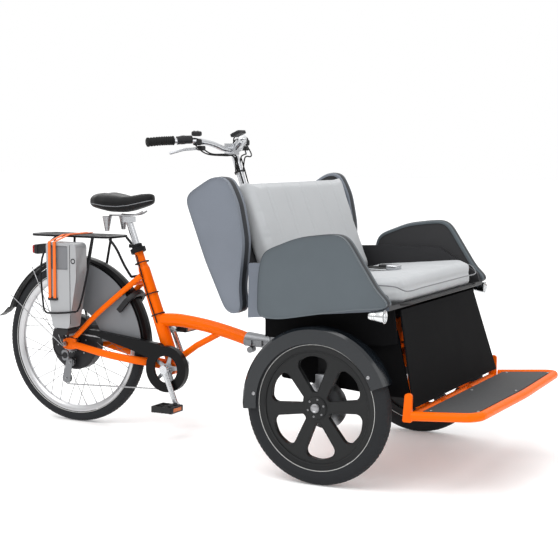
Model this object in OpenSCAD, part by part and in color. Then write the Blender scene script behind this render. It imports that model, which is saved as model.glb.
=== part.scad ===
// Cycle rickshaw: a two-seat passenger bench on a steered front section with two wheels,
// hinged on a vertical kingpin in front of the rear half of a bicycle with an assist hub motor.
// Millimetres. +X forward, +Y to the rider's left, +Z up. The origin lies on the ground,
// below the centre of the whole vehicle. Inside the modules X is measured from the front axle.

/* [Wheels] */
// Radius of the front tyres
front_tyre_r = 260; // [250:1:265]
// Width of the front tyres
front_tyre_w = 52; // [44:1:54]
// Distance between the two front wheels' middle planes
track = 929; // [925:1:935]
// Radius of the rear tyre
rear_tyre_r = 325; // [318:1:328]
// Width of the rear tyre
rear_tyre_w = 49; // [40:1:50]
// Distance from the front axle back to the rear axle
wheelbase = 1304; // [1300:1:1310]

/* [Rear frame] */
// Height of the crank axle
crank_z = 257; // [250:1:262]
// Distance from the front axle back to the crank axle
crank_back = 841; // [835:1:845]
// Length of one crank arm
crank_length = 145; // [140:1:150]
// Height of the seat tube's top
seat_tube_top_z = 717; // [700:1:725]
// Largest radius of the seat tube, at the crank axle
seat_tube_r = 27; // [24:1:28]
// Radius of the curved main tube
main_tube_r = 26; // [22:1:27]

/* [Bench] */
// Outer half width of the bench over its arm panels
bench_half_w = 505; // [500:1:508]
// Thickness of the arm panels
arm_panel_t = 36; // [30:1:36]
// Thickness of the head wings
wing_t = 50; // [40:1:52]
// Thickness of the seat cushion
seat_cushion_t = 84; // [70:1:86]
// Thickness of the backrest cushion
back_cushion_t = 62; // [50:1:64]

/* [Footplate] */
// Height of the footplate's front edge
footplate_z = 284; // [280:1:288]
// Radius of the footplate's tube rim
footplate_rim_r = 15; // [13:1:16]

/* [Hidden] */

front_axle_x = 556;
seat_lean = 20.2;
corner_steps = 6;
orange = "darkorange";
slate = "slategray";
silver = "silver";

// Unit vector, and a planar vector turned by an angle
function unit(v) = v / norm(v);
function turned(v, a) = [v[0] * cos(a) - v[1] * sin(a), v[0] * sin(a) + v[1] * cos(a)];

// The arc that rounds corner c between its neighbours p and n with radius c[2]
function corner_arc(p, c, n) =
    c[2] <= 0 ? [[c[0], c[1]]] :
    let (at = [c[0], c[1]],
         u = unit([p[0], p[1]] - at),
         v = unit([n[0], n[1]] - at),
         half = acos(u * v) / 2,
         centre = at + unit(u + v) * c[2] / sin(half),
         first = at + u * c[2] / tan(half) - centre,
         last = at + v * c[2] / tan(half) - centre,
         side = first[0] * last[1] - first[1] * last[0] > 0 ? 1 : -1)
    [for (k = [0:corner_steps]) centre + turned(first, side * (180 - 2 * half) * k / corner_steps)];

// A closed outline whose corners [x, y, radius] are rounded by arcs
function rounded(corners) =
    let (n = len(corners))
    [for (i = [0:n - 1]) each corner_arc(corners[(i + n - 1) % n], corners[i], corners[(i + 1) % n])];

// A smooth curve through the given points, with n steps between neighbours
function spline(points, n = 4) =
    let (last = len(points) - 1)
    [for (i = [0:last - 1], k = [0:n - 1])
        let (t = k / n,
             a = points[max(i - 1, 0)], b = points[i], c = points[i + 1], d = points[min(i + 2, last)])
        0.5 * (2 * b + (c - a) * t + (2 * a - 5 * b + 4 * c - d) * t * t + (3 * b - a - 3 * c + d) * t * t * t),
     points[last]];

// A round or oval tube swept along a path: radii are [across, along up] at the two ends
module swept(path, start_r, end_r, up = [0, 0, 1], sides = 16) {
    last = len(path) - 1;
    rings = [for (i = [0:last])
        let (t = unit(path[min(i + 1, last)] - path[max(i - 1, 0)]),
             across = unit(cross(t, up)),
             rise = cross(across, t),
             r = start_r + (end_r - start_r) * i / last)
        for (k = [0:sides - 1])
            path[i] + across * r[0] * cos(360 * k / sides) + rise * r[1] * sin(360 * k / sides)];
    walls = [for (i = [0:last - 1], k = [0:sides - 1])
        let (a = i * sides + k, b = i * sides + (k + 1) % sides)
        each [[a, b, a + sides], [b, b + sides, a + sides]]];
    caps = [[for (k = [sides - 1:-1:0]) k], [for (k = [0:sides - 1]) last * sides + k]];
    polyhedron(rings, concat(walls, caps));
}

// A round rod with exact walls from point a to point b
module rod(a, b, r, r_end = undef) {
    d = b - a;
    translate(a) rotate([0, acos(d[2] / norm(d)), atan2(d[1], d[0])])
        cylinder(h = norm(d), r1 = r, r2 = r_end == undef ? r : r_end, $fn = 48);
}

// A plate with an outline in the XZ plane, from y0 to y1
module side_plate(outline, y0, y1) {
    translate([0, y1, 0]) rotate([90, 0, 0]) linear_extrude(y1 - y0) polygon(outline);
}

// A turned piece on an axis along Y
module turned_y(centre) {
    translate(centre) rotate([90, 0, 0]) rotate_extrude($fn = 96) children();
}

// The same piece on the right and on the left
module both_sides() {
    children();
    mirror([0, 1, 0]) children();
}

// Everything is drawn from the front axle
module placed() {
    translate([front_axle_x, 0, 0]) children();
}

// ---- Driving points, measured from the front axle ----
rear_hub = [-wheelbase, 0, rear_tyre_r];
crank_hub = [-crank_back, 0, crank_z];
seat_dir = [-sin(seat_lean), 0, cos(seat_lean)];
function on_seat_tube(z) = crank_hub + seat_dir * (z - crank_z) / cos(seat_lean);
seat_top = on_seat_tube(seat_tube_top_z);
kingpin_x = -395;
kingpin_z = 384;
dropout_y = 72;
stay_end = rear_hub + [30, 0, 8];
wheel_y = track / 2;

// ---- Rear frame ----
module main_frame() color(orange) {
    flare_z = seat_tube_top_z - 82;
    difference() {
        union() {
            rod(crank_hub, on_seat_tube(flare_z), seat_tube_r, 23);
            rod(on_seat_tube(flare_z), on_seat_tube(flare_z + 22), 23, 17);
            rod(on_seat_tube(flare_z + 22), seat_top, 17);
            rod(crank_hub + [0, -36, 0], crank_hub + [0, 36, 0], 27);
        }
        rod(crank_hub + [0, -40, 0], crank_hub + [0, 40, 0], 9);
        rod(on_seat_tube(480), seat_top + seat_dir * 2, 13.6);
    }
    swept(spline([on_seat_tube(438), [-820, 0, 443], [-700, 0, 430], [-600, 0, 411], [-520, 0, 391]], 4),
        [22, main_tube_r], [24, 25]);
    swept([crank_hub + [30, 0, 42], [-740, 0, 349], [-638, 0, 404]], [12, 13], [12, 12]);
}

module rear_stays() color(orange) {
    both_sides() {
        swept(spline([[-876, -21, 262], [-934, -22, 269], [-1024, -52, 282], [-1130, -66, 297],
            stay_end + [0, -dropout_y, -8]], 4), [9, 17], [8, 14]);
        swept(spline([[-974, -33, 610], [-1030, -46, 563], [-1160, -66, 453], stay_end + [6, -dropout_y, 16]], 4),
            [9, 12], [8, 10]);
        // Dropout plate with the axle's hole
        difference() {
            side_plate(rounded([[-1258, 306, 8], [-1258, 362, 8], [-1290, 356, 10], [-1318, 344, 14],
                [-1322, 308, 14], [-1296, 302, 10]]), -dropout_y - 4, -dropout_y + 4);
            rod(rear_hub + [0, -90, 0], rear_hub + [0, -60, 0], 6.2);
        }
    }
    // Bridge behind the seat tube
    rod([-1012, -38, 578], [-1012, 38, 578], 8);
    rod([-930, -20, 268], [-930, 20, 268], 9);
}

module frame_coupling() color(silver) {
    difference() {
        union() {
            rod([-526, 0, 392], [kingpin_x - 10, 0, kingpin_z], 28, 24);
            translate([kingpin_x, 0, kingpin_z - 32]) cylinder(h = 64, r = 27, $fn = 64);
            for (x = [-506, -462]) translate([x, -33, 372]) cube([22, 66, 20]);
            translate([-500, 0, 352]) rotate([-90, 0, 0]) cylinder(h = 30, r = 12, center = true, $fn = 48);
        }
        translate([kingpin_x, 0, kingpin_z - 40]) cylinder(h = 80, r = 12.05, $fn = 64);
        rod([-640, 0, 417], [-519, 0, 390.5], 30);
    }
}

module seat_clamp() color("black") {
    difference() {
        union() {
            rod(seat_top + seat_dir * 1, seat_top + seat_dir * 15, 21);
            translate(seat_top + [-36, -8, 0]) cube([22, 16, 14]);
        }
        rod(seat_top - seat_dir * 4, seat_top + seat_dir * 24, 13.7);
    }
}

module seatpost() color(silver) {
    rod(on_seat_tube(520), on_seat_tube(826), 13.5);
    translate(on_seat_tube(822) + [-20, -17, -4]) cube([40, 34, 22]);
}

module saddle_springs() color(silver) {
    both_sides() {
        swept(spline([[-975, -14, 862], [-1005, -18, 849], [-1058, -24, 845], [-1112, -44, 845]], 4),
            [3.5, 3.5], [3.5, 3.5], sides = 10);
        translate([-1114, -57, 784]) cylinder(h = 58, r1 = 8, r2 = 19, $fn = 48);
    }
}

module saddle() color("dimgray") {
    hull() both_sides() {
        translate([-1160, -70, 900]) sphere(r = 34, $fn = 32);
        translate([-1096, -62, 889]) sphere(r = 36, $fn = 32);
        translate([-1030, 0, 890]) sphere(r = 35, $fn = 32);
    }
    hull() {
        translate([-1060, 0, 893]) sphere(r = 34, $fn = 32);
        translate([-958, 0, 907]) sphere(r = 25, $fn = 32);
    }
}

// ---- Carrier and battery ----
carrier_z = 754;
module rear_carrier() color("black") {
    // Slotted deck
    translate([0, 0, carrier_z]) difference() {
        linear_extrude(8) polygon(rounded([[-1490, -76, 50], [-1490, 76, 50], [-1090, 76, 40], [-1090, -76, 40]]));
        for (y = [-44, 0, 44])
            translate([0, y, -1]) linear_extrude(10)
                polygon(rounded([[-1455, -10, 9], [-1455, 10, 9], [-1130, 10, 9], [-1130, -10, 9]]));
    }
    both_sides() {
        swept(spline([[-1102, -60, carrier_z - 2], [-1070, -60, 716], [-1040, -50, 652], [-1014, -40, 606]], 4),
            [5, 5], [5, 5], up = [0, 1, 0], sides = 10);
        swept(spline([[-1180, -66, carrier_z - 2], [-1206, -70, 640], [-1250, -90, 500], [-1290, -86, 352]], 4),
            [5, 5], [5, 5], up = [0, 1, 0], sides = 10);
        swept(spline([[-1360, -66, carrier_z - 2], [-1362, -70, 640], [-1340, -90, 500], [-1304, -86, 346]], 4),
            [5, 5], [5, 5], up = [0, 1, 0], sides = 10);
    }
    rod([-1014, -38, 606], [-1014, 38, 606], 5);
    // Wire loop round the battery
    swept(spline([[-1350, -74, carrier_z], [-1354, -130, 720], [-1350, -174, 640], [-1340, -176, 500],
        [-1330, -176, 466], [-1300, -176, 460], [-1200, -176, 470], [-1170, -170, 490], [-1160, -130, 620],
        [-1170, -74, carrier_z]], 3), [4, 4], [4, 4], up = [1, 0, 1], sides = 10);
}

battery_y0 = -168;
battery_y1 = -96;
module battery_case() color("lightgray") {
    difference() {
        side_plate(rounded([[-1330, 738, 14], [-1326, 600, 300], [-1300, 402, 14], [-1222, 402, 14],
            [-1186, 600, 200], [-1186, 738, 20]]), battery_y0, battery_y1);
        // Sunk panel of the grip
        translate([-1308, battery_y0 - 1, 632]) cube([84, 6, 96]);
    }
}

module battery_base() color("dimgray") {
    side_plate(rounded([[-1294, 399, 6], [-1284, 374, 12], [-1240, 374, 12], [-1228, 399, 6]]),
        battery_y0 + 6, battery_y1 - 6);
}

module carrier_strap() color(orange) {
    top = carrier_z + 8.5;
    outer = battery_y0 - 4;
    for (x = [-1314, -1290])
        translate([x, 0, 0]) rotate([90, 0, 90]) linear_extrude(12)
            polygon([[80, top], [80, top + 3], [-80, top + 3], [outer - 3, 742], [outer - 3, 520], [outer, 520],
                [outer, 741], [-79, top]]);
}

module tail_lamp() color("firebrick") {
    side_plate(rounded([[-1500, 716, 6], [-1500, 676, 12], [-1474, 676, 8], [-1470, 716, 4]]), -38, 38);
}

// ---- Rear mudguard ----
module rear_mudguard() color("black") {
    translate(rear_hub) rotate([90, 0, 0]) rotate([0, 0, -3]) rotate_extrude(angle = 163, $fn = 96)
        polygon([[337, -31], [343, -31], [350, -18], [352, 0], [350, 18], [343, 31], [337, 31],
            [339, 28], [346, 16], [348, 0], [346, -16], [339, -28]]);
    swept([[-1636, 0, 447], [-1660, 0, 424], [-1688, 0, 408]], [28, 2], [26, 1.5]);
}

module mudguard_stays() color(silver) {
    both_sides() {
        rod([-1304, -104, 322], [-1610, -36, 500], 2);
        rod([-1304, -104, 330], [-1500, -36, 622], 2);
    }
}

module ring_lock() color("black") {
    translate([-1036, 0, 502]) rotate([0, 42, 0]) difference() {
        union() {
            rotate([0, 90, 0]) cylinder(h = 20, r = 60, center = true, $fn = 64);
            translate([-10, -60, -44]) cube([20, 17, 60]);
        }
        rotate([0, 90, 0]) cylinder(h = 30, r = 43, center = true, $fn = 64);
        translate([-20, -43, -90]) cube([40, 86, 90]);
    }
}

// Sheet fans that keep coats out of the spokes
module coat_guards() color(slate) {
    both_sides() translate(rear_hub + [0, -36, 0]) rotate([90, 0, 0])
        linear_extrude(3) intersection() {
            difference() {
                circle(r = 333, $fn = 128);
                circle(r = 150, $fn = 96);
            }
            polygon([[0, 0], [30, 400], [400, 400], [400, 40]]);
        }
}

// ---- Drive ----
chain_y = -46;
case_depth = 27;
module chain_case() color("black") {
    difference() {
        translate([0, -68, 0]) union() {
            side_plate(rounded([[-1208, 390, 6], [-865, 353, 20], [-845, 300, 10], [-925, 297, 20],
                [-1004, 323, 60], [-1112, 350, 60], [-1200, 374, 6]]), 0, case_depth);
            translate(crank_hub) rotate([-90, 0, 0]) cylinder(h = case_depth, r = 90, $fn = 96);
        }
        translate([0, -65, 0]) union() {
            side_plate(rounded([[-1220, 388, 4], [-866, 350, 17], [-845, 290, 10], [-923, 287, 18],
                [-1003, 313, 58], [-1111, 338, 58], [-1220, 364, 4]]), 0, case_depth + 8);
            translate(crank_hub) rotate([-90, 0, 0]) cylinder(h = case_depth + 8, r = 87, $fn = 96);
        }
        translate(crank_hub + [0, -80, 0]) rotate([-90, 0, 0]) cylinder(h = 60, r = 52, $fn = 96);
        translate([-960, -60, 150]) cube([118, 60, 60]);
    }
}

module chain() color("gray") {
    // Top and bottom runs between the sprockets
    side_plate([[-1300, 364], [-852, 333.5], [-852, 339.5], [-1300, 370]], chain_y - 3, chain_y + 3);
    side_plate([[-1322, 159], [-845, 178], [-845, 172], [-1322, 152]], chain_y - 3, chain_y + 3);
}

module rear_derailleur() color(silver) {
    side_plate(rounded([[-1322, 300, 10], [-1290, 300, 10], [-1286, 262, 10], [-1316, 256, 10]]), -86, -77);
    side_plate(rounded([[-1318, 268, 12], [-1290, 262, 12], [-1306, 158, 14], [-1340, 168, 14]]), -54, -51);
    translate([-1323, -51, 180]) rotate([-90, 0, 0]) cylinder(h = 12, r = 20, $fn = 48);
    translate([-1304, -51, 246]) rotate([-90, 0, 0]) cylinder(h = 12, r = 18, $fn = 48);
    rod([-1304, -84, 277], [-1304, -50, 262], 7);
}

module rear_axle() color(silver) {
    rod(rear_hub + [0, -100, 0], rear_hub + [0, 100, 0], 6);
    both_sides() translate(rear_hub + [0, -90, 0]) rotate([-90, 0, 0]) cylinder(h = 12, r = 10, $fn = 6);
}

// ---- Rear wheel ----
module tyre(r, w, wall, bead_r) {
    rotate_extrude($fn = 128) intersection() {
        difference() {
            translate([r - w / 2, 0]) circle(r = w / 2, $fn = 64);
            translate([r - w / 2 - 1, 0]) circle(r = w / 2 - wall, $fn = 64);
        }
        translate([bead_r, -w]) square([w * 2, w * 2]);
    }
}

rear_bead_r = 287;
module rear_tyre() color("dimgray")
    translate(rear_hub) rotate([90, 0, 0]) tyre(rear_tyre_r, rear_tyre_w, 5, rear_bead_r);

module rear_rim() color(silver)
    turned_y(rear_hub) difference() {
        polygon([[260, -8], [266, -14], [286, -16], [286, 16], [266, 14], [260, 8]]);
        polygon([[268, -9], [283, -12], [290, -12], [290, 12], [283, 12], [268, 9]]);
    }

spokes_a_side = 18;
module rear_spokes() color(silver) translate(rear_hub) rotate([90, 0, 0])
    for (side = [-1, 1], k = [0:spokes_a_side - 1]) {
        lean = (k % 2 == 0 ? 1 : -1) * 16;
        a = 360 * (k + (side > 0 ? 0.5 : 0)) / spokes_a_side;
        rod([113.4 * cos(a), 113.4 * sin(a), side * (13 + k % 2 * 5)],
            [258.8 * cos(a + lean), 258.8 * sin(a + lean), side * (2 + k % 2 * 3)], 1);
    }

module hub_motor() color("dimgray")
    turned_y(rear_hub) polygon([[6.1, -58], [18, -58], [20, -34], [60, -28], [104, -26], [112, -20], [112, 20],
        [104, 26], [60, 28], [20, 34], [18, 37], [6.1, 37]]);

module cassette() color("gray")
    turned_y(rear_hub) polygon([[19, 38], [42, 38], [42, 40], [38, 41], [38, 44], [34, 45], [34, 48],
        [30, 49], [30, 52], [27, 53], [27, 56], [24, 57], [24, 60], [6.1, 60], [6.1, 38]]);

// ---- Cranks ----
crank_angle = -66;
crank_dir = [cos(crank_angle), 0, sin(crank_angle)];
module chainring() color(silver)
    translate(crank_hub + [0, chain_y - 2, 0]) rotate([-90, 0, 0]) difference() {
        cylinder(h = 4, r = 76, $fn = 96);
        for (k = [0:4]) rotate(72 * k + 36) translate([34, 0, -1]) cylinder(h = 6, r = 12, $fn = 32);
        translate([0, 0, -1]) cylinder(h = 6, r = 10, $fn = 48);
    }

module crank_arms() color(silver) {
    rod(crank_hub + [0, -84, 0], crank_hub + [0, 84, 0], 8.5);
    for (s = [-1, 1]) {
        rod(crank_hub + [0, s * 70, 0], crank_hub + [0, s * 86, 0], 17);
        rod(crank_hub + [0, s * 72, 0], crank_hub + [0, s * 52, 0], 14);
        tip = crank_hub - crank_dir * s * crank_length;
        rod(tip + [0, s * 78, 0], tip + [0, s * 92, 0], 13);
        swept([crank_hub + [0, s * 78, 0], (crank_hub + tip) / 2 + [0, s * 82, 0], tip + [0, s * 85, 0]],
            [7, 14], [7, 11], up = [crank_dir[2], 0, -crank_dir[0]]);
    }
}

module pedal(s) {
    tip = crank_hub - crank_dir * s * crank_length;
    color("black") {
        rod(tip + [0, s * 92.5, 0], tip + [0, s * 194, 0], 6.5);
        translate(tip + [0, s * 151, 0]) difference() {
            cube([92, 84, 26], center = true);
            for (x = [-27, 27]) translate([x, 0, 0]) cube([24, 60, 30], center = true);
        }
    }
}
module pedal_right() pedal(-1);
module pedal_left() pedal(1);

// ---- Front chassis ----
beam_z = 400;
module front_chassis() color(orange) {
    // Fork plates above and below the coupling's boss
    difference() {
        union() {
            for (z = [kingpin_z - 44, kingpin_z + 33])
                translate([kingpin_x, 0, z]) linear_extrude(11)
                    polygon(rounded([[-26, -26, 25], [-26, 26, 25], [76, 34, 4], [76, -34, 4]]));
            translate([kingpin_x + 50, -34, kingpin_z - 44]) cube([32, 68, 88]);
        }
        translate([kingpin_x, 0, kingpin_z - 60]) cylinder(h = 120, r = 12, $fn = 64);
    }
    // Backbone, cross beam and seat posts
    translate([kingpin_x + 81, -25, beam_z - 26]) cube([543, 50, 50]);
    translate([-30, -330, beam_z - 30]) cube([60, 660, 60]);
    for (y = [-250, 210], x = [-190, 150])
        translate([x, y, beam_z - 20]) cube([40, 40, 128 + (x > 0 ? 36 : 0)]);
    for (x = [-190, 150]) translate([x, -250, beam_z - 20]) cube([40, 500, 40]);
    // Arms that carry the footplate
    both_sides() {
        translate([226, -236, 240]) cube([36, 36, 182]);
        translate([180, -236, beam_z - 20]) cube([60, 36, 40]);
        translate([250, -236, 240]) cube([56, 36, 20]);
        side_plate(rounded([[298, 330, 10], [322, 330, 10], [322, 236, 6], [290, 236, 6]]), -446, -436);
        // Bearers under the footplate
        translate([305, -150, 242]) cube([190, 30, 18]);
    }
    rod([306, -438, 250], [306, 438, 250], 12);
}

module kingpin() color(silver) {
    translate([kingpin_x, 0, kingpin_z - 52]) cylinder(h = 104, r = 12, $fn = 64);
    translate([kingpin_x, 0, kingpin_z - 62]) cylinder(h = 17, r = 20, $fn = 6);
    translate([kingpin_x, 0, kingpin_z + 45]) cylinder(h = 10, r = 16, $fn = 6);
}

column_top = [-577, 0, 1095];
column_foot = [-358, 0, 434];
module steering_column() color(silver) {
    rod(column_foot, column_top - unit(column_top - column_foot) * 16, 14);
}

bar_mid = [-588, 0, 1112];
module handlebar() color(silver) {
    half = [[-586, 52, 1105], [-606, 112, 1124], [-634, 190, 1136], [-683, 253, 1135]];
    swept(spline([for (i = [3:-1:0]) [half[i][0], -half[i][1], half[i][2]], each half], 4),
        [11.1, 11.1], [11.1, 11.1], sides = 20);
    translate(bar_mid + [-18, -22, -27]) cube([40, 44, 42]);
    rod([-574, 0, 1110], [-552, 0, 1136], 13);
}

module handlebar_grips() color("black")
    both_sides() swept([[-685, -255, 1136], [-714, -290, 1134], [-750, -334, 1129]], [17, 17], [17, 17]);

module brake_levers() color(silver)
    both_sides() {
        swept(spline([[-622, -168, 1108], [-648, -226, 1104], [-682, -290, 1090]], 4), [5, 7], [5, 5]);
        translate([-634, -178, 1100]) cube([26, 24, 18]);
    }

module handlebar_console() color("black") {
    swept([[-618, -176, 1161], [-634, -206, 1162]], [18, 11], [16, 11]);
    // Display on top of the stem
    translate([-580, -29, 1149]) rotate([0, -24, 0]) cube([42, 58, 12]);
}

// ---- Bench ----
function pan_z(x) = 541 + 0.104 * (x + 270);
inner_half_w = bench_half_w - arm_panel_t;
back_low = [-180, 644];
back_high = [-318, 1003];
back_lean = atan2(back_low[0] - back_high[0], back_high[1] - back_low[1]);
back_dir = [-sin(back_lean), cos(back_lean)];
back_normal = [-cos(back_lean), -sin(back_lean)];

module bench_shell() color(slate) {
    // Seat pan
    side_plate([[-262, pan_z(-262)], [250, pan_z(250)], [250, pan_z(250) + 14], [-262, pan_z(-262) + 14]],
        -inner_half_w, inner_half_w);
    // Back panel
    low = back_low - back_dir * 72 + back_normal * (back_cushion_t + 2);
    high = back_high + back_dir * 0 + back_normal * (back_cushion_t + 2);
    side_plate([low, high, high + back_normal * 14, low + back_normal * 14], -429, 429);
    // Side walls below the arm panels
    both_sides()
        side_plate(rounded([[-262, pan_z(-268) + 1, 0], [-260, 727, 6], [-150, 732, 6], [80, 732, 30],
            [236, 640, 12], [250, pan_z(250) + 1, 0]]), -inner_half_w, -inner_half_w + 24);
}

module wings() color(slate)
    both_sides()
        side_plate(rounded([[-502, 947, 24], [-392, 1015, 55], [-338, 1016, 50], [-296, 930, 110],
            [-271, 800, 150], [-288, 640, 110], [-276, 544, 12], [-338, 556, 50], [-420, 730, 200]]),
            -480, -480 + wing_t - 0.5);

module arm_panels() color(slate)
    both_sides()
        side_plate(rounded([[-208, 548, 14], [-204, 690, 60], [-188, 772, 55], [-60, 822, 160], [30, 834, 90],
            [104, 840, 40], [222, 658, 40], [266, 622, 16], [262, 604, 8], [150, 594, 60], [0, 570, 60],
            [-120, 548, 60]]), -bench_half_w, -inner_half_w - 0.3);

module backrest_cushion() color("lightgray")
    side_plate([back_low + [2, 0], back_high, back_high + back_normal * back_cushion_t,
        back_low + back_normal * back_cushion_t], -398, 398);

// The seat cushion's rear end leans like the backrest, 3 mm in front of it
function rear_x(z) = back_low[0] + 3 - (z - back_low[1]) * tan(back_lean);
module seat_cushion() color("lightgray") {
    low = pan_z(-150) + 16;
    high = pan_z(-180) + 16 + seat_cushion_t;
    intersection() {
        side_plate([[rear_x(low), low], [rear_x(high), high], [252, pan_z(252) + 12 + seat_cushion_t],
            [262, pan_z(262) + 60], [262, pan_z(262) + 16]], -440, 440);
        translate([0, 0, 400]) linear_extrude(500)
            polygon(rounded([[-240, -436, 10], [-240, 436, 10], [200, 436, 40], [262, 340, 60],
                [262, -340, 60], [200, -436, 40]]));
    }
}

module seat_belts() color("black") {
    for (y = [-60, 70])
        translate([-120, y, pan_z(-120) + seat_cushion_t + 20]) rotate([0, -6, 0]) cube([150, 44, 4]);
}

// ---- Panels under the bench ----
module under_box() color("black") {
    both_sides() {
        side_plate(rounded([[-222, 470, 4], [-236, pan_z(-236) - 1, 4], [238, pan_z(238) - 1, 4],
            [252, 480, 4], [200, 470, 4]]), -398, -392);
        // Skirt beside the wheel, with a hole for the axle's arm
        difference() {
            side_plate(rounded([[-182, 330, 10], [-200, 520, 4], [240, 520, 4], [290, 300, 4], [180, 300, 10]]),
                -372, -366);
            translate([-36, -380, 370]) cube([72, 20, 24]);
        }
    }
    translate([-236, -392, 470]) cube([6, 784, 68]);
}

module leg_panel() color("black") {
    lean = atan2(75, 300);
    translate([243, 0, 586]) rotate([0, -lean, 0]) rotate([90, 0, 90])
        linear_extrude(6) polygon([[-364, 0], [364, 0], [432, -316], [-432, -316]]);
}

deck_slope = 4.4;
module footplate() color("dimgray")
    translate([0, 0, footplate_z - 48]) rotate([0, -deck_slope, 0]) linear_extrude(9)
        polygon(rounded([[352, -425, 10], [352, 425, 10], [534, 434, 36], [546, 0, 900], [534, -434, 36]]));

module footplate_rim() color(orange) {
    path = rounded([[326, -452, 0], [548, -460, 44], [562, 0, 900], [548, 460, 44], [326, 452, 0]]);
    swept([for (p = path) [p[0], p[1], footplate_z - 8 + (p[0] - 540) * 0.077]], [footplate_rim_r, footplate_rim_r],
        [footplate_rim_r, footplate_rim_r], sides = 20);
}

module headlamps() color(silver)
    both_sides() {
        rod([196, -504, 580], [250, -504, 580], 15, 22);
        rod([206, -498, 582], [201, -488, 590], 5);
    }

// ---- Front wheels and their carriers ----
module front_mudguards() color(slate)
    both_sides() translate([0, -wheel_y, front_tyre_r]) rotate([90, 0, 0]) rotate([0, 0, 21])
        rotate_extrude(angle = 164, $fn = 96)
            polygon([[216, -34], [262, -34], [270, -26], [273, 0], [270, 26], [262, 34], [216, 34],
                [216, 31], [261, 31], [267, 25], [270, 0], [267, -25], [261, -31], [216, -31]]);

module wheel_carriers() color("dimgray")
    both_sides() {
        side_plate(rounded([[-34, 240, 16], [-34, 430, 10], [34, 430, 10], [34, 240, 16]]), -394, -376);
        rod([0, -380, front_tyre_r], [0, -486, front_tyre_r], 10);
        translate([-30, -377, 376]) cube([60, 46.9, 12]);
    }

module brake_calipers() color(silver)
    both_sides() difference() {
        translate([-30, -424, front_tyre_r + 58]) cube([60, 29.5, 44]);
        translate([-40, -415, front_tyre_r + 40]) cube([80, 9, 50]);
    }

front_bead_r = 209;
module front_tyre(s) color("dimgray")
    translate([0, s * wheel_y, front_tyre_r]) rotate([90, 0, 0]) tyre(front_tyre_r, front_tyre_w, 5, front_bead_r);

module disc_wheel(s) color("black")
    translate([0, s * wheel_y, front_tyre_r]) rotate([-90 * s, 0, 0]) difference() {
        union() {
            rotate_extrude($fn = 128) polygon([[186, -16], [208, -20], [208, -16], [194, -10], [194, 10],
                [208, 16], [208, 20], [186, 16]]);
            translate([0, 0, -4]) cylinder(h = 18, r = 188, $fn = 128);
            translate([0, 0, -28]) cylinder(h = 48, r = 36, $fn = 64);
        }
        for (k = [0:5]) rotate(60 * k + 24 * s) translate([0, 0, -10]) linear_extrude(40)
            polygon(rounded([[50, -9, 8], [50, 9, 8], [156, 65, 24], [178, 0, 70], [156, -65, 24]]));
        translate([0, 0, -40]) cylinder(h = 54, r = 22, $fn = 64);
        translate([0, 0, -40]) cylinder(h = 90, r = 15.1, $fn = 64);
    }

module front_hub(s) color(silver)
    translate([0, s * wheel_y, front_tyre_r]) rotate([-90 * s, 0, 0]) difference() {
        union() {
            translate([0, 0, -56]) cylinder(h = 69.9, r = 21.9, $fn = 64);
            translate([0, 0, 10]) cylinder(h = 16, r = 15, $fn = 64);
            translate([0, 0, -56]) cylinder(h = 4, r = 80, $fn = 96);
        }
        translate([0, 0, -70]) cylinder(h = 92, r = 10.05, $fn = 64);
    }
module tyre_right() front_tyre(-1);
module tyre_left() front_tyre(1);
module disc_wheel_right() disc_wheel(-1);
module disc_wheel_left() disc_wheel(1);
module hub_right() front_hub(-1);
module hub_left() front_hub(1);

placed() main_frame();
placed() rear_stays();
placed() frame_coupling();
placed() seat_clamp();
placed() seatpost();
placed() saddle_springs();
placed() saddle();
placed() rear_carrier();
placed() battery_case();
placed() battery_base();
placed() carrier_strap();
placed() tail_lamp();
placed() rear_mudguard();
placed() mudguard_stays();
placed() ring_lock();
placed() coat_guards();
placed() chain_case();
placed() chain();
placed() rear_derailleur();
placed() rear_axle();
placed() rear_tyre();
placed() rear_rim();
placed() rear_spokes();
placed() hub_motor();
placed() cassette();
placed() chainring();
placed() crank_arms();
placed() pedal_right();
placed() pedal_left();
placed() front_chassis();
placed() kingpin();
placed() steering_column();
placed() handlebar();
placed() handlebar_grips();
placed() brake_levers();
placed() handlebar_console();
placed() bench_shell();
placed() wings();
placed() arm_panels();
placed() backrest_cushion();
placed() seat_cushion();
placed() seat_belts();
placed() under_box();
placed() leg_panel();
placed() footplate();
placed() footplate_rim();
placed() headlamps();
placed() front_mudguards();
placed() wheel_carriers();
placed() brake_calipers();
placed() tyre_right();
placed() disc_wheel_right();
placed() hub_right();
placed() tyre_left();
placed() disc_wheel_left();
placed() hub_left();
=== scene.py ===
"""Cycle rickshaw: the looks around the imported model.

Every length is in metres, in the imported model's frame: +X forward, +Y to the rider's left, +Z up.
"""

import math

import bmesh
import bpy
import numpy as np
from mathutils import Matrix, Vector


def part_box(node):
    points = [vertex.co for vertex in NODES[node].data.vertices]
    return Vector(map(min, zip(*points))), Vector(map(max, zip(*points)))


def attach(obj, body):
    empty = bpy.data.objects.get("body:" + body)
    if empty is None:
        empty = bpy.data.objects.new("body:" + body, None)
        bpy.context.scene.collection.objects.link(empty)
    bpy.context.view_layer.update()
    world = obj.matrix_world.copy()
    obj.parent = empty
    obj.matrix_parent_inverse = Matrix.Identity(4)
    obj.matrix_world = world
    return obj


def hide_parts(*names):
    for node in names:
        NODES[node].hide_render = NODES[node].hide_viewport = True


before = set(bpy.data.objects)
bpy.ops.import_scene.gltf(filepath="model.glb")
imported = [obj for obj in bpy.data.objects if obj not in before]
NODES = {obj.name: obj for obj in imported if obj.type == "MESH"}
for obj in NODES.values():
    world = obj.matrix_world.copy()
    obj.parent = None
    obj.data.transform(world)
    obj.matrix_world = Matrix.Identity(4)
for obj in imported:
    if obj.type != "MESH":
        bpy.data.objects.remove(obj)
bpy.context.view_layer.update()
TAU = 2 * math.pi


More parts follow.
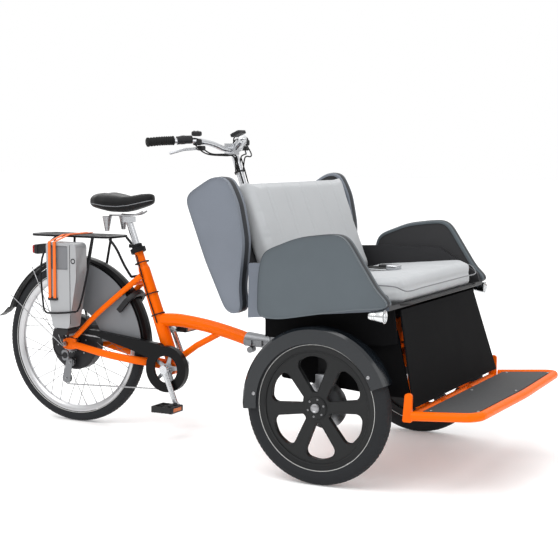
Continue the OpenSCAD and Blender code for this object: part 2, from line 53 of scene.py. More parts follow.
# ---------------------------------------------------------------- driving places
def low_of(node):
    return np.array(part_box(node)[0])


def high_of(node):
    return np.array(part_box(node)[1])


def middle(node):
    """The centre of a CAD node's box."""
    return (low_of(node) + high_of(node)) / 2


FRONT_R = (high_of("tyre_right") - low_of("tyre_right"))[2] / 2
AXLE_X = middle("tyre_right")[0]
WHEEL_Y = abs(middle("tyre_right")[1])
CRANK = middle("chainring") * [1, 0, 1]
CRANK_ANGLE = math.radians(-66)
CRANK_LENGTH = 0.145
SEAT_LEAN = math.radians(20.2)
CHAIN_Y = -0.046


def at(x, y, z):
    """A place measured from the point on the ground below the front axle."""
    return np.array([AXLE_X + x, y, z], float)


def spots(*rows):
    """Several places measured from the ground below the front axle, given in millimetres."""
    return np.array(rows, float) / 1000 + [AXLE_X, 0, 0]


def on_seat_tube(z):
    """The place at height z on the middle line of the seat tube."""
    return CRANK + np.array([-math.tan(SEAT_LEAN) * (z - CRANK[2]), 0, z - CRANK[2]])


# ---------------------------------------------------------------- curves and surfaces
def smooth(points, steps=8, closed=False):
    """A cubic through every point, whose tangent there is parallel to the line between its neighbours."""
    p = np.array(points, float)
    rows = np.vstack([p[-1:], p, p[:2]]) if closed else np.vstack([2 * p[0] - p[1], p, 2 * p[-1] - p[-2]])
    t = np.linspace(0, 1, steps, endpoint=False)[None, :, None]
    a, b, c, d = [rows[i:len(rows) - 3 + i][:, None, :] for i in range(4)]
    curve = 0.5 * (2 * b + (c - a) * t + (2 * a - 5 * b + 4 * c - d) * t**2 + (3 * b - a - 3 * c + d) * t**3)
    curve = curve.reshape(-1, p.shape[1])
    return curve if closed else np.vstack([curve, p[-1:]])


def even(loop, count):
    """A closed loop again, with points at equal distances along it."""
    ring = np.vstack([loop, loop[:1]])
    reach = np.concatenate([[0], np.cumsum(np.linalg.norm(np.diff(ring, axis=0), axis=1))])
    wanted = np.linspace(0, reach[-1], count, endpoint=False)
    return np.stack([np.interp(wanted, reach, ring[:, i]) for i in range(ring.shape[1])], axis=1)


def rounded(corners, steps=6):
    """A closed outline in the XZ plane from corners (x, z, radius) in millimetres, each rounded by an arc."""
    out = []
    for i, (x, z, r) in enumerate(corners):
        here = np.array([x, z], float)
        u = np.array(corners[i - 1][:2]) - here
        v = np.array(corners[(i + 1) % len(corners)][:2]) - here
        u, v = u / np.linalg.norm(u), v / np.linalg.norm(v)
        half = math.acos(np.clip(u @ v, -1, 1)) / 2
        centre = here + (u + v) / np.linalg.norm(u + v) * r / math.sin(half)
        first, last = here + u * r / math.tan(half) - centre, here + v * r / math.tan(half) - centre
        t = np.linspace(0, 1, steps)[:, None]
        arc = first * (1 - t) + last * t
        out.append(centre + arc / np.maximum(np.linalg.norm(arc, axis=1, keepdims=True), 1e-9) * r)
    return np.vstack(out) / 1000


def side_outline(corners, count=160):
    """The same outline with evenly spaced points, measured from the front axle."""
    return even(rounded(corners), count) + [AXLE_X, 0]


def drawn_in(loop, distance):
    """A closed 2-D loop moved inwards by a distance along its normals."""
    along = np.roll(loop, -1, 0) - np.roll(loop, 1, 0)
    normal = np.stack([-along[:, 1], along[:, 0]], axis=1) / np.linalg.norm(along, axis=1, keepdims=True)
    area = np.sum(loop[:, 0] * np.roll(loop[:, 1], -1) - np.roll(loop[:, 0], -1) * loop[:, 1])
    return loop + normal * distance * np.sign(area)


def across_path(path):
    """At each point of a path, two unit vectors across it that turn as little as they can."""
    tangent = np.gradient(path, axis=0)
    tangent /= np.linalg.norm(tangent, axis=1, keepdims=True)
    start = np.cross(tangent[0], [0.0, 0.0, 1.0] if abs(tangent[0][2]) < 0.9 else [1.0, 0.0, 0.0])
    across = [start / np.linalg.norm(start)]
    for t in tangent[1:]:
        moved = across[-1] - t * (across[-1] @ t)
        across.append(moved / np.linalg.norm(moved))
    across = np.array(across)
    return across, np.cross(across, tangent)


def tube(path, radius, sides=16, flat=1.0):
    """A circle of the given radius, or an ellipse flattened by a factor, carried along a path."""
    path = np.array(path, float)
    across, rise = across_path(path)
    angle = np.arange(sides) * TAU / sides
    radius = np.broadcast_to(radius, len(path))[:, None, None]
    ring = np.cos(angle)[None, :, None] * across[:, None, :] + flat * np.sin(angle)[None, :,
        None] * rise[:, None, :]
    return path[:, None, :] + radius * ring


def strip(path, across, half_width, half_thick, sides=16, power=0.35):
    """A flat band: the section is a superellipse, wide along one fixed direction and thin across it."""
    path = np.array(path, float)
    tangent = np.gradient(path, axis=0)
    tangent /= np.linalg.norm(tangent, axis=1, keepdims=True)
    wide = np.broadcast_to(np.array(across, float), path.shape)
    wide = wide - tangent * np.sum(wide * tangent, axis=1, keepdims=True)
    wide = wide / np.linalg.norm(wide, axis=1, keepdims=True)
    thin = np.cross(wide, tangent)
    angle = np.arange(sides) * TAU / sides + 0.01
    c, s = signed_power(np.cos(angle), power), signed_power(np.sin(angle), power)
    width = np.broadcast_to(half_width, len(path))[:, None, None]
    thick = np.broadcast_to(half_thick, len(path))[:, None, None]
    return path[:, None, :] + width * c[None, :, None] * wide[:, None, :] + thick * s[None, :,
        None] * thin[:, None, :]


def signed_power(value, power):
    return np.sign(value) * np.abs(value) ** power


def turned(centre, axis, profile, sides=48):
    """A profile of (distance along the axis, radius) turned about the axis through the centre."""
    axis = np.array(axis, float) / np.linalg.norm(axis)
    u = np.cross(axis, [0.0, 0.0, 1.0] if abs(axis[2]) < 0.9 else [1.0, 0.0, 0.0])
    u /= np.linalg.norm(u)
    v = np.cross(axis, u)
    profile = np.array(profile, float)
    angle = np.arange(sides) * TAU / sides
    ring = np.cos(angle)[:, None] * u + np.sin(angle)[:, None] * v
    return np.array(centre) + profile[:, :1, None] * axis + profile[:, 1:, None] * ring[None, :, :]


def block(centre, size, power=0.3, turn=None, sides=32, rows=14):
    """A superellipsoid: the sines and cosines of a ball's two angles, each raised to a power,
    times the size."""
    up = np.linspace(-math.pi / 2, math.pi / 2, rows + 2)[1:-1][:, None]
    round_ = (np.arange(sides) * TAU / sides + TAU / sides / 2)[None, :]
    x = signed_power(np.cos(up), power) * signed_power(np.cos(round_), power)
    y = signed_power(np.cos(up), power) * signed_power(np.sin(round_), power)
    z = signed_power(np.sin(up), power) * np.ones_like(round_)
    grid = np.stack([x, y, z], axis=2) * np.array(size) / 2
    if turn is not None:
        grid = grid @ np.array(Matrix.Rotation(turn[1], 3, turn[0])).T
    return grid + np.array(centre)


def plate(outline, y0, y1, edge, steps=5, crown=0.0):
    """An outline in the XZ plane carried from y0 to y1, drawn in by a quarter circle at both faces.
    Each face is closed by smaller copies of the outline, raised by the crown towards the middle."""
    quarter = np.linspace(0, math.pi / 2, steps)
    inset = edge * (1 - np.sin(quarter))
    depth = edge * (1 - np.cos(quarter))
    rims = [(drawn_in(outline, i), y0 + d) for i, d in zip(inset, depth)]
    rims += [(drawn_in(outline, i), y1 - d) for i, d in zip(inset[::-1], depth[::-1])]
    centre = outline.mean(axis=0)
    scale = [0.3, 0.6, 0.82, 0.94]
    faces = lambda loop, y, sign, order: [
        (centre + (loop - centre) * s, y + sign * crown * (1 - s * s)) for s in order]
    sign = 1 if y1 > y0 else -1
    rows = faces(rims[0][0], y0, -sign, scale) + rims + faces(rims[-1][0], y1, sign, scale[::-1])
    return np.stack([np.stack([p[:, 0], np.full(len(p), y), p[:, 1]], axis=1) for p, y in rows])


def dome(centre, axis, radius, height, sides=20):
    """A low round screw head with a rolled edge."""
    t = np.linspace(0, math.pi / 2, 5)
    profile = [(-height * 0.5, radius)] + [(height * math.sin(a),
        radius * math.cos(a) ** 0.6) for a in t[:-1]]
    return turned(centre, axis, profile, sides)


def socket_screw(centre, axis, radius, height):
    """A cap screw with a rolled edge and a round hole, as one turned profile."""
    axis = np.array(axis, float) / np.linalg.norm(axis)
    head = turned(centre, axis, [(0, radius), (height * 0.85, radius), (height, radius * 0.88),
        (height, radius * 0.52), (height * 0.45, radius * 0.5)], 24)
    return head


def mirrored(grid):
    return grid * np.array([1, -1, 1])


class Piece:
    """Surfaces of one or more finishes gathered into one mesh that rides on one body."""

    def __init__(self, name, body):
        self.name, self.body = name, body
        self.points, self.faces, self.kinds, self.finishes = [], [], [], []
        self.count = 0

    def add(self, grid, finish, around=True, along=False, caps=True):
        """Adds a grid of points: it closes around its rows and, if asked, along them, or ends in caps."""
        m, n = grid.shape[:2]
        index = np.arange(m * n).reshape(m, n)
        right = np.roll(index, -1, axis=1) if around else index[:, 1:]
        left = index if around else index[:, :-1]
        if along:
            a, b, c, d = left, right, np.roll(right, -1, axis=0), np.roll(left, -1, axis=0)
        else:
            a, b, c, d = left[:-1], right[:-1], right[1:], left[1:]
        quads = np.stack([a.ravel(), b.ravel(), c.ravel(), d.ravel()], axis=1)
        points = grid.reshape(-1, 3)
        faces = [tuple(q) for q in quads.tolist()]
        if caps and around and not along:
            points = np.vstack([points, grid[0].mean(axis=0), grid[-1].mean(axis=0)])
            first, last = m * n, m * n + 1
            faces += [(int(j), int(i), first) for i, j in zip(left[0], right[0])]
            faces += [(int(i), int(j), last) for i, j in zip(left[-1], right[-1])]
        if around and (caps or along):
            tri = np.array([(f[0], f[i], f[i + 1]) for f in faces for i in range(1, len(f) - 1)])
            p = points - points.mean(axis=0)
            volume = np.einsum("ij,ij->i", p[tri[:, 0]], np.cross(p[tri[:, 1]], p[tri[:, 2]])).sum()
            if volume < 0:
                faces = [f[::-1] for f in faces]
        if finish not in self.finishes:
            self.finishes.append(finish)
        self.points.append(points)
        self.faces += [tuple(i + self.count for i in f) for f in faces]
        self.kinds += [self.finishes.index(finish)] * len(faces)
        self.count += len(points)
        return self

    def both(self, grid, finish, **how):
        """Adds the grid and its mirror image on the other side of the vehicle."""
        return self.add(grid, finish, **how).add(mirrored(grid), finish, **how)

    def make(self, replaces=(), sharp=38):
        """Builds the object, with creases kept only where faces meet at more than the sharp angle."""
        mesh = bpy.data.meshes.new(self.name)
        mesh.from_pydata(np.vstack(self.points).tolist(), [], self.faces)
        for finish in self.finishes:
            mesh.materials.append(finish)
        mesh.polygons.foreach_set("material_index", self.kinds)
        mesh.polygons.foreach_set("use_smooth", [True] * len(self.faces))
        mesh.set_sharp_from_angle(angle=math.radians(sharp))
        mesh.update()
        made = bpy.data.objects.new(self.name, mesh)
        bpy.context.collection.objects.link(made)
        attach(made, self.body)
        if replaces:
            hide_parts(*replaces)
        return made


# ---------------------------------------------------------------- camera, light and floor
def make_camera():
    """A camera in front and to the right, a little above the bench, tipped down and hardly rolled."""
    azimuth, tip, roll = math.radians(27.05), math.radians(5.77), math.radians(0.265)
    back = np.array([math.sin(azimuth) * math.cos(tip), -math.cos(azimuth) * math.cos(tip), math.sin(tip)])
    right = np.array([math.cos(azimuth), math.sin(azimuth), 0.0])
    up = np.cross(back, right)
    across = math.cos(roll) * right + math.sin(roll) * up
    above = math.cos(roll) * up - math.sin(roll) * right
    data = bpy.data.cameras.new("camera")
    data.sensor_width = 36
    data.lens = 36 * 1295.9 / 558
    camera = bpy.data.objects.new("camera", data)
    bpy.context.collection.objects.link(camera)
    place = at(1.8003, -4.2784, 1.1108)
    rows = [[across[i], above[i], back[i], place[i]] for i in range(3)]
    camera.matrix_world = Matrix(rows + [[0, 0, 0, 1]])
    bpy.context.scene.camera = camera


def area_light(name, place, target, size, power):
    """A square soft box of the given side that faces its target."""
    data = bpy.data.lights.new(name, "AREA")
    data.size = size
    data.energy = power
    lamp = bpy.data.objects.new(name, data)
    bpy.context.collection.objects.link(lamp)
    lamp.location = place
    lamp.rotation_euler = (lamp.location - Vector(target)).to_track_quat("Z", "Y").to_euler()


def make_stage():
    """A white floor and an even white surround, with one large key light above and two side fills."""
    world = bpy.data.worlds.new("studio")
    bpy.context.scene.world = world
    world.use_nodes = True
    studio_sky(world.node_tree)
    bpy.context.scene.view_settings.view_transform = "Standard"
    floor_mesh = bpy.data.meshes.new("floor")
    floor_mesh.from_pydata([(-40, -40, 0), (40, -40, 0), (40, 40, 0), (-40, 40, 0)], [], [(0, 1, 2, 3)])
    floor = bpy.data.objects.new("floor", floor_mesh)
    bpy.context.collection.objects.link(floor)
    floor_mesh.materials.append(FLOOR)
    area_light("key", (-0.6, -2.6, 4.2), (0, 0, 0.4), 3.0, 90)
    area_light("fill_front", (4.5, -1.5, 2.4), (0, 0, 0.6), 2.5, 32)
    area_light("fill_back", (-3.5, 3.0, 3.0), (0, 0, 0.6), 2.5, 32)


# ---------------------------------------------------------------- shader maths
class Wire:
    """One output socket of a material's nodes; arithmetic on it adds Math nodes to the same tree."""

    def __init__(self, tree, socket=None):
        self.tree = tree
        self.socket = socket

    def node(self, kind, settings=None, inputs=None, out=0):
        """Adds a node: its settings first, then the values or wires of its sockets.
        Returns one output."""
        made = self.tree.nodes.new("ShaderNode" + kind)
        for name, value in (settings or {}).items():
            if name == "stops":
                set_stops(made.color_ramp, value)
            else:
                setattr(made, name, value)
        for name, value in (inputs or {}).items():
            if isinstance(value, Wire):
                self.tree.links.new(value.socket, made.inputs[name])
            else:
                made.inputs[name].default_value = value
        return Wire(self.tree, made.outputs[out])

    def maths(self, operation, a, b=0.0):
        return self.node("Math", {"operation": operation}, {0: a, 1: b})

    def __add__(self, other):
        return self.maths("ADD", self, other)

    def __radd__(self, other):
        return self.maths("ADD", other, self)

    def __sub__(self, other):
        return self.maths("SUBTRACT", self, other)

    def __rsub__(self, other):
        return self.maths("SUBTRACT", other, self)

    def __mul__(self, other):
        return self.maths("MULTIPLY", self, other)

    def __rmul__(self, other):
        return self.maths("MULTIPLY", other, self)

    def __truediv__(self, other):
        return self.maths("DIVIDE", self, other)

    def __pow__(self, other):
        return self.maths("POWER", self, other)

    def over(self, edge):
        """1 where this is above the edge, else 0."""
        return self.maths("GREATER_THAN", self, edge)

    def ramp(self, *stops):
        """The colour at this value between the given stops."""
        return self.node("ValToRGB", {"stops": stops}, {0: self})

    def eased(self, low, high):
        """0 below low, 1 above high and smooth between them."""
        return self.node("MapRange", {"interpolation_type": "SMOOTHSTEP"},
            {0: self, 1: low, 2: high, 3: 0.0, 4: 1.0})

    def mixed(self, a, b):
        """Colour a where this is 0 and colour b where it is 1."""
        return self.node("Mix", {"data_type": "RGBA"}, {0: self, 6: a, 7: b}, out=2)


def set_stops(ramp, stops):
    """Gives a colour ramp the stops (position, colour)."""
    while len(ramp.elements) < len(stops):
        ramp.elements.new(0.5)
    for element, (position, colour) in zip(ramp.elements, stops):
        element.position = position
        element.color = colour


def rgb(r, g, b):
    return (r, g, b, 1.0)


class Finish:
    """A material under construction: its coordinate, patterns and shader."""

    def __init__(self, name):
        self.material = bpy.data.materials.new(name)
        self.material.use_nodes = True
        self.tree = self.material.node_tree
        self.tree.nodes.clear()
        self.wire = Wire(self.tree)
        self.place = self.wire.node("TexCoord", out="Object")

    def stretched(self, scale, turn=(0, 0, 0), centre=(0, 0, 0)):
        """The object coordinate, centred, turned and scaled."""
        moved = self.wire.node("VectorMath", {"operation": "SUBTRACT"}, {0: self.place, 1: tuple(centre)})
        return self.wire.node("Mapping", {"vector_type": "POINT"},
            {"Vector": moved, "Rotation": turn, "Scale": scale})

    def noise(self, scale, detail=3.0, rough=0.5, where=None):
        return self.wire.node("TexNoise", {}, {
            "Vector": where or self.place, "Scale": scale, "Detail": detail, "Roughness": rough})

    def cells(self, scale, where=None, feature="F1"):
        return self.wire.node("TexVoronoi", {"feature": feature},
            {"Vector": where or self.place, "Scale": scale})

    def parts(self, vector=None):
        """The X, Y and Z of a vector as three wires."""
        split = self.wire.node("SeparateXYZ", {}, {0: vector or self.place})
        node = split.socket.node
        return [Wire(self.tree, node.outputs[i]) for i in range(3)]

    def bumped(self, height, distance, strength=1.0, under=None):
        inputs = {"Height": height, "Distance": distance, "Strength": strength}
        if under is not None:
            inputs["Normal"] = under
        return self.wire.node("Bump", {}, inputs)

    def close(self, **sockets):
        """Ends the material in one Principled shader, whose sockets are named with _ for a space."""
        inputs = {name.replace("_", " "): value for name, value in sockets.items()}
        shader = self.wire.node("BsdfPrincipled", {}, inputs)
        output = self.tree.nodes.new("ShaderNodeOutputMaterial")
        self.tree.links.new(shader.socket, output.inputs["Surface"])
        return self.material


def studio_sky(tree):
    """A white surround as the camera sees it; for light and reflections it is darker near the horizon and
    in two upright bands, so that metal shows its shape."""
    wire = Wire(tree)
    direction = wire.node("TexCoord", out="Generated")
    split = wire.node("SeparateXYZ", {}, {0: direction}).socket.node
    x, z = Wire(tree, split.outputs[0]), Wire(tree, split.outputs[2])
    height = z.eased(0.02, 0.35)
    band = (x * x).eased(0.25, 0.8)
    level = height * 0.75 + 0.42 - band * 0.12 + z.eased(0.55, 0.95) * 0.25
    seen = wire.node("LightPath", out="Is Camera Ray")
    strength = seen * (1.0 - level) + level
    background = tree.nodes["Background"]
    background.inputs["Color"].default_value = (1, 1, 1, 1)
    tree.links.new(strength.socket, background.inputs["Strength"])


# ---------------------------------------------------------------- finishes
def paint(name, colour, rough, coat=0.0, peel=0.00006, metal=0.0, dust=0.06, shine=0.5):
    """Sprayed paint: a fine orange-peel ripple, a slow drift of tone and a slightly uneven gloss."""
    f = Finish(name)
    drift = f.noise(3.0, 2.0)
    dark = rgb(*[c * (1 - dust) for c in colour])
    light = rgb(*[min(1.0, c * (1 + dust)) for c in colour])
    ripple = f.noise(900.0, 2.0)
    gloss = f.noise(24.0, 4.0) * 0.12 + (rough - 0.06)
    return f.close(Base_Color=drift.mixed(dark, light), Roughness=gloss, Metallic=metal,
        Specular_IOR_Level=shine,
        Coat_Weight=coat, Coat_Roughness=0.08, Normal=f.bumped(ripple, peel))


def metal(name, colour, rough, grain=0.00002, streak=(40, 40, 900)):
    """Bare metal with fine brushed streaks that vary its gloss."""
    f = Finish(name)
    streaks = f.noise(1.0, 4.0, 0.6, where=f.stretched(streak))
    cloud = f.noise(18.0, 3.0)
    tone = cloud.mixed(rgb(*[c * 0.88 for c in colour]), rgb(*colour))
    return f.close(Base_Color=tone, Metallic=1.0, Roughness=streaks * 0.16 + (rough - 0.08),
        Normal=f.bumped(streaks, grain))


def cast(name, colour, rough):
    """Cast aluminium: a fine pebbled skin and cloudy gloss."""
    f = Finish(name)
    grain = f.noise(420.0, 3.0)
    cloud = f.noise(30.0, 3.0)
    return f.close(Base_Color=cloud.mixed(rgb(*[c * 0.8 for c in colour]), rgb(*colour)), Metallic=0.9,
        Roughness=cloud * 0.2 + (rough - 0.1), Normal=f.bumped(grain, 0.00012))


def moulded(name, colour, rough, grain=500.0, depth=0.00008, coat=0.0, shine=0.5, glow=0.0):
    """Moulded plastic with a fine spark-eroded grain."""
    f = Finish(name)
    pits = f.cells(grain)
    cloud = f.noise(9.0, 3.0)
    tone = cloud.mixed(rgb(*[c * 0.88 for c in colour]), rgb(*[min(1.0, c * 1.1) for c in colour]))
    return f.close(Base_Color=tone, Roughness=cloud * 0.12 + (rough - 0.06), Coat_Weight=coat,
        Specular_IOR_Level=shine, Emission_Color=rgb(1, 1, 1), Emission_Strength=glow,
        Normal=f.bumped(pits, depth))


def vinyl(name, colour, rough, grain=900.0, depth=0.00018, wrinkle=0.0, shine=0.5):
    """Soft vinyl: a leather grain of small cells, slow tonal drift and long shallow wrinkles."""
    f = Finish(name)
    pebbles = f.cells(grain)
    drift = f.noise(5.0, 3.0)
    tone = drift.mixed(rgb(*[c * 0.93 for c in colour]), rgb(*[min(1.0, c * 1.05) for c in colour]))
    under = None
    if wrinkle:
        folds = f.noise(1.0, 2.0, 0.4, where=f.stretched((3.0, 5.0, 1.6), turn=(0.5, 0.2, 0.4)))
        under = f.bumped(folds, wrinkle)
    return f.close(Base_Color=tone, Roughness=pebbles * 0.1 + rough, Sheen_Weight=0.1,
        Specular_IOR_Level=shine,
        Normal=f.bumped(pebbles, depth, under=under))


def glassy(name, colour, rough=0.05, weight=0.9):
    """A clear or tinted moulded lens with faint waviness."""
    f = Finish(name)
    wave = f.noise(60.0, 2.0)
    return f.close(Base_Color=rgb(*colour), Roughness=wave * 0.04 + rough, Transmission_Weight=weight,
        IOR=1.46, Normal=f.bumped(wave, 0.0001))


def two_faced(name, outside, inside, rough):
    """A moulded shell, grey on the faces that look out of the bench and dark on those that look into it."""
    f = Finish(name)
    facing = f.parts(f.wire.node("NewGeometry", out="Normal"))
    across = f.parts()[1]
    outward = f.wire.maths("MAXIMUM", (facing[1] * across).over(0.2), (0.0 - facing[0]).over(0.5))
    pits = f.cells(800.0)
    return f.close(Base_Color=outward.mixed(rgb(*inside), rgb(*outside)), Roughness=pits * 0.08 + rough,
        Specular_IOR_Level=0.35, Normal=f.bumped(pits, 0.00005))


ORANGE = paint("orange_powder_coat", (0.82, 0.122, 0.0), 0.36, coat=0.05, peel=0.00005, shine=0.08)
BLACK_PAINT = paint("black_powder_coat", (0.008, 0.008, 0.009), 0.45, shine=0.15)
PANEL_BLACK = moulded("black_panel", (0.0055, 0.0055, 0.006), 0.7, grain=700.0, depth=0.00005, shine=0.04)
SLATE = moulded("slate_shell", (0.135, 0.152, 0.182), 0.46, grain=800.0, depth=0.00005)
SLATE_DEEP = moulded("slate_shell_deep", (0.066, 0.082, 0.094), 0.46, grain=800.0, depth=0.00005)
# Painted shade: near black on the rolled edges of the wings and arm panels, standing in for the shade where
# the edge turns from the light.
SLATE_RIM_SHADE = moulded("slate_rim_painted_shade", (0.016, 0.018, 0.022), 0.45, grain=800.0, depth=0.00005, shine=0.25)
SLATE_GLOSS = paint("slate_gloss", (0.006, 0.008, 0.0105), 0.14, coat=0.15, peel=0.00004, shine=0.35)
GUARD_BLACK = paint("guard_black", (0.005, 0.005, 0.0055), 0.32, coat=0.03, shine=0.1)
CHARCOAL = vinyl("charcoal_vinyl", (0.030, 0.030, 0.032), 0.6, grain=700.0, shine=0.2)
LIGHT_VINYL = vinyl("light_grey_vinyl", (0.405, 0.417, 0.43), 0.5, grain=900.0, depth=0.0001, wrinkle=0.004)
SADDLE_VINYL = vinyl("saddle_vinyl", (0.007, 0.007, 0.0075), 0.42, grain=1100.0, depth=0.0002, shine=0.12)
WHEEL_BLACK = paint("wheel_black", (0.010, 0.0105, 0.011), 0.4, coat=0.06, shine=0.2)
ALLOY = metal("polished_alloy", (0.56, 0.57, 0.59), 0.26)
CHROME = metal("chrome", (0.68, 0.69, 0.70), 0.10, grain=0.000005)
STEEL = metal("brushed_steel", (0.33, 0.33, 0.34), 0.32)
DARK_STEEL = metal("dark_steel", (0.13, 0.13, 0.135), 0.3)
RIM_ALLOY = metal("rim_alloy", (0.55, 0.55, 0.56), 0.34)
CAST = cast("cast_alloy", (0.42, 0.43, 0.45), 0.38)
DARK_CAST = cast("dark_cast_alloy", (0.22, 0.225, 0.235), 0.42)
CASE_GREY = paint("case_silver", (0.33, 0.335, 0.345), 0.34, coat=0.3, metal=0.25)
DARK_PLASTIC = moulded("dark_plastic", (0.010, 0.010, 0.011), 0.5, shine=0.3)
GREY_PLASTIC = moulded("grey_plastic", (0.15, 0.155, 0.165), 0.5)
MOTOR = paint("motor_grey", (0.016, 0.016, 0.018), 0.42, metal=0.3, shine=0.3)
RUBBER = moulded("soft_rubber", (0.008, 0.008, 0.008), 0.72, grain=600.0, shine=0.2)
ELASTIC = moulded("orange_elastic", (0.80, 0.13, 0.004), 0.6, grain=1500.0)
DECK = moulded("deck_grip", (0.055, 0.056, 0.058), 0.7, grain=420.0, depth=0.0005, shine=0.3)
RED_LENS = glassy("red_lens", (0.55, 0.01, 0.01), weight=0.5)
CLEAR_LENS = glassy("clear_lens", (0.95, 0.96, 0.97), weight=0.95)
AMBER_LENS = glassy("amber_reflector", (0.9, 0.2, 0.01), rough=0.12, weight=0.3)
WEBBING = moulded("webbing", (0.008, 0.008, 0.008), 0.75, grain=1400.0, depth=0.0003, shine=0.2)
TYRE = moulded("tyre_rubber", (0.014, 0.015, 0.017), 0.68, grain=500.0, shine=0.2)
STRIPE = paint("white_line", (0.42, 0.42, 0.41), 0.5)
DISPLAY = paint("display_glass", (0.01, 0.012, 0.014), 0.1, coat=0.6)
FLOOR = moulded("floor_white", (0.95, 0.95, 0.95), 0.8, grain=40.0, depth=0.0, shine=0.05, glow=0.12)
LENS_WHITE = paint("lamp_emitter", (0.85, 0.85, 0.8), 0.3)
SHELL = two_faced("bench_shell_faces", (0.135, 0.152, 0.182), (0.020, 0.020, 0.022), 0.46)

CAD_FINISHES = {
    "main_frame": ORANGE, "rear_stays": ORANGE, "front_chassis": ORANGE, "footplate_rim": ORANGE,
    "frame_coupling": DARK_CAST, "seat_clamp": BLACK_PAINT, "seatpost": ALLOY, "saddle_springs": STEEL,
    "saddle": SADDLE_VINYL, "rear_carrier": BLACK_PAINT, "battery_case": CASE_GREY,
    "battery_base": DARK_PLASTIC, "carrier_strap": ELASTIC, "tail_lamp": RED_LENS,
    "rear_mudguard": GUARD_BLACK, "mudguard_stays": STEEL, "ring_lock": DARK_PLASTIC,
    "coat_guards": GREY_PLASTIC, "chain_case": GUARD_BLACK, "chain": STEEL, "rear_derailleur": DARK_CAST,
    "rear_axle": STEEL, "rear_tyre": TYRE, "rear_rim": RIM_ALLOY, "rear_spokes": STEEL, "hub_motor": MOTOR,
    "cassette": STEEL, "chainring": CAST, "crank_arms": ALLOY, "pedal_right": DARK_PLASTIC,
    "pedal_left": DARK_PLASTIC, "kingpin": STEEL, "steering_column": ALLOY, "handlebar": ALLOY,
    "handlebar_grips": RUBBER, "brake_levers": ALLOY, "handlebar_console": DARK_PLASTIC,
    "bench_shell": SHELL, "wings": SLATE, "arm_panels": SLATE, "backrest_cushion": LIGHT_VINYL,
    "seat_cushion": LIGHT_VINYL, "seat_belts": WEBBING, "under_box": PANEL_BLACK, "leg_panel": PANEL_BLACK,
    "footplate": DECK, "headlamps": CHROME, "front_mudguards": SLATE_GLOSS, "wheel_carriers": BLACK_PAINT,
    "brake_calipers": CAST, "tyre_right": TYRE, "disc_wheel_right": WHEEL_BLACK, "hub_right": CAST,
    "tyre_left": TYRE, "disc_wheel_left": WHEEL_BLACK, "hub_left": CAST,
}


SOFT_EDGED = ("battery_case", "battery_base", "leg_panel", "under_box", "seat_clamp", "wheel_carriers",
    "brake_calipers", "front_chassis", "bench_shell", "ring_lock", "crank_arms")


def finish_cad():
    """Gives each carried-over CAD node its finish."""
    for node, material in CAD_FINISHES.items():
        mesh = NODES[node].data
        mesh.materials.clear()
        mesh.materials.append(material)
    for node in SOFT_EDGED:
        weld = NODES[node].modifiers.new("weld", "WELD")
        weld.merge_threshold = 1e-5
        edge = NODES[node].modifiers.new("edge", "BEVEL")
        edge.width, edge.segments, edge.limit_method, edge.angle_limit = 0.0012, 2, "ANGLE", math.radians(50)


# ---------------------------------------------------------------- wheels
def tyre(name, body, node, bead, pinstripe, blocks):
    """A tyre: a rounded section turned about the hub. On the crown the radius rises by 1.4 mm wherever the
    sine of (blocks * angle + a slant that grows across the tyre) is above a threshold, which makes slanted
    tread blocks; two grooves run round, and a thin line is laid on both walls."""
    low, high = low_of(node), high_of(node)
    hub, radius, half = middle(node), (high_of(node) - low_of(node))[2] / 2, (high - low)[1] / 2
    deep = radius - bead
    across = np.radians(np.concatenate([np.linspace(-118, -64, 6), np.linspace(-58, 58, 25),
        np.linspace(64, 118, 6)]))
    y = half * 0.995 * signed_power(np.sin(across), 0.92)
    section = bead + deep * (0.5 + 0.5 * signed_power(np.cos(across), 0.86)) - 0.0014
    y[0], y[-1], section[0], section[-1] = -half * 0.72, half * 0.72, bead, bead
    angle = np.arange(540) * TAU / 540
    crown = np.clip((math.radians(60) - np.abs(across)) / 0.08, 0, 1)
    pattern = np.sin(blocks * angle[:, None] + 55 * np.abs(y)[None, :] / half * 0.12 + np.sign(y)[None,
        :] * 0.9)
    cuts = np.clip((pattern + 0.55) * 5, 0, 1) * np.where(np.abs(np.abs(y) - half * 0.42) < half * 0.07,
        0.0, 1.0)
    rise = section[None, :] + 0.0014 * cuts * crown[None, :]
    grid = np.stack([hub[0] + rise * np.cos(angle)[:, None], np.broadcast_to(hub[1] + y, rise.shape),
        hub[2] + rise * np.sin(angle)[:, None]], axis=2)
    piece = Piece("tyre_" + name, body)
    inner = grid[:, ::-1][:, :1] * 0.5 + grid[:, :1] * 0.5
    piece.add(np.concatenate([grid, inner], axis=1), TYRE, along=True)
    level = np.interp(pinstripe, section[:8], np.arange(8.0))
    for side in (-1, 1):
        y_line = np.interp(level, np.arange(8.0), y[:8])
        profile = [(-0.0006, pinstripe - 0.0013), (0.0007, pinstripe - 0.0009), (0.0007, pinstripe + 0.0009),
            (-0.0006, pinstripe + 0.0013)]
        band = turned([hub[0], hub[1] - side * y_line, hub[2]], [0, side, 0], profile, 160)
        piece.add(band.transpose(1, 0, 2), STRIPE, along=True)
    return piece.make(replaces=[node])


def spoke_window(angle):
    """The outline of one opening of the disc wheel, from the CAD's corners, in the wheel's plane."""
    loop = even(rounded([(50, -9, 8), (50, 9, 8), (156, 65, 24), (178, 0, 70), (156, -65, 24)]), 72)
    c, s = math.cos(angle), math.sin(angle)
    x, z = loop[:, 0] * c - loop[:, 1] * s, loop[:, 0] * s + loop[:, 1] * c
    return np.stack([x, z], axis=1)


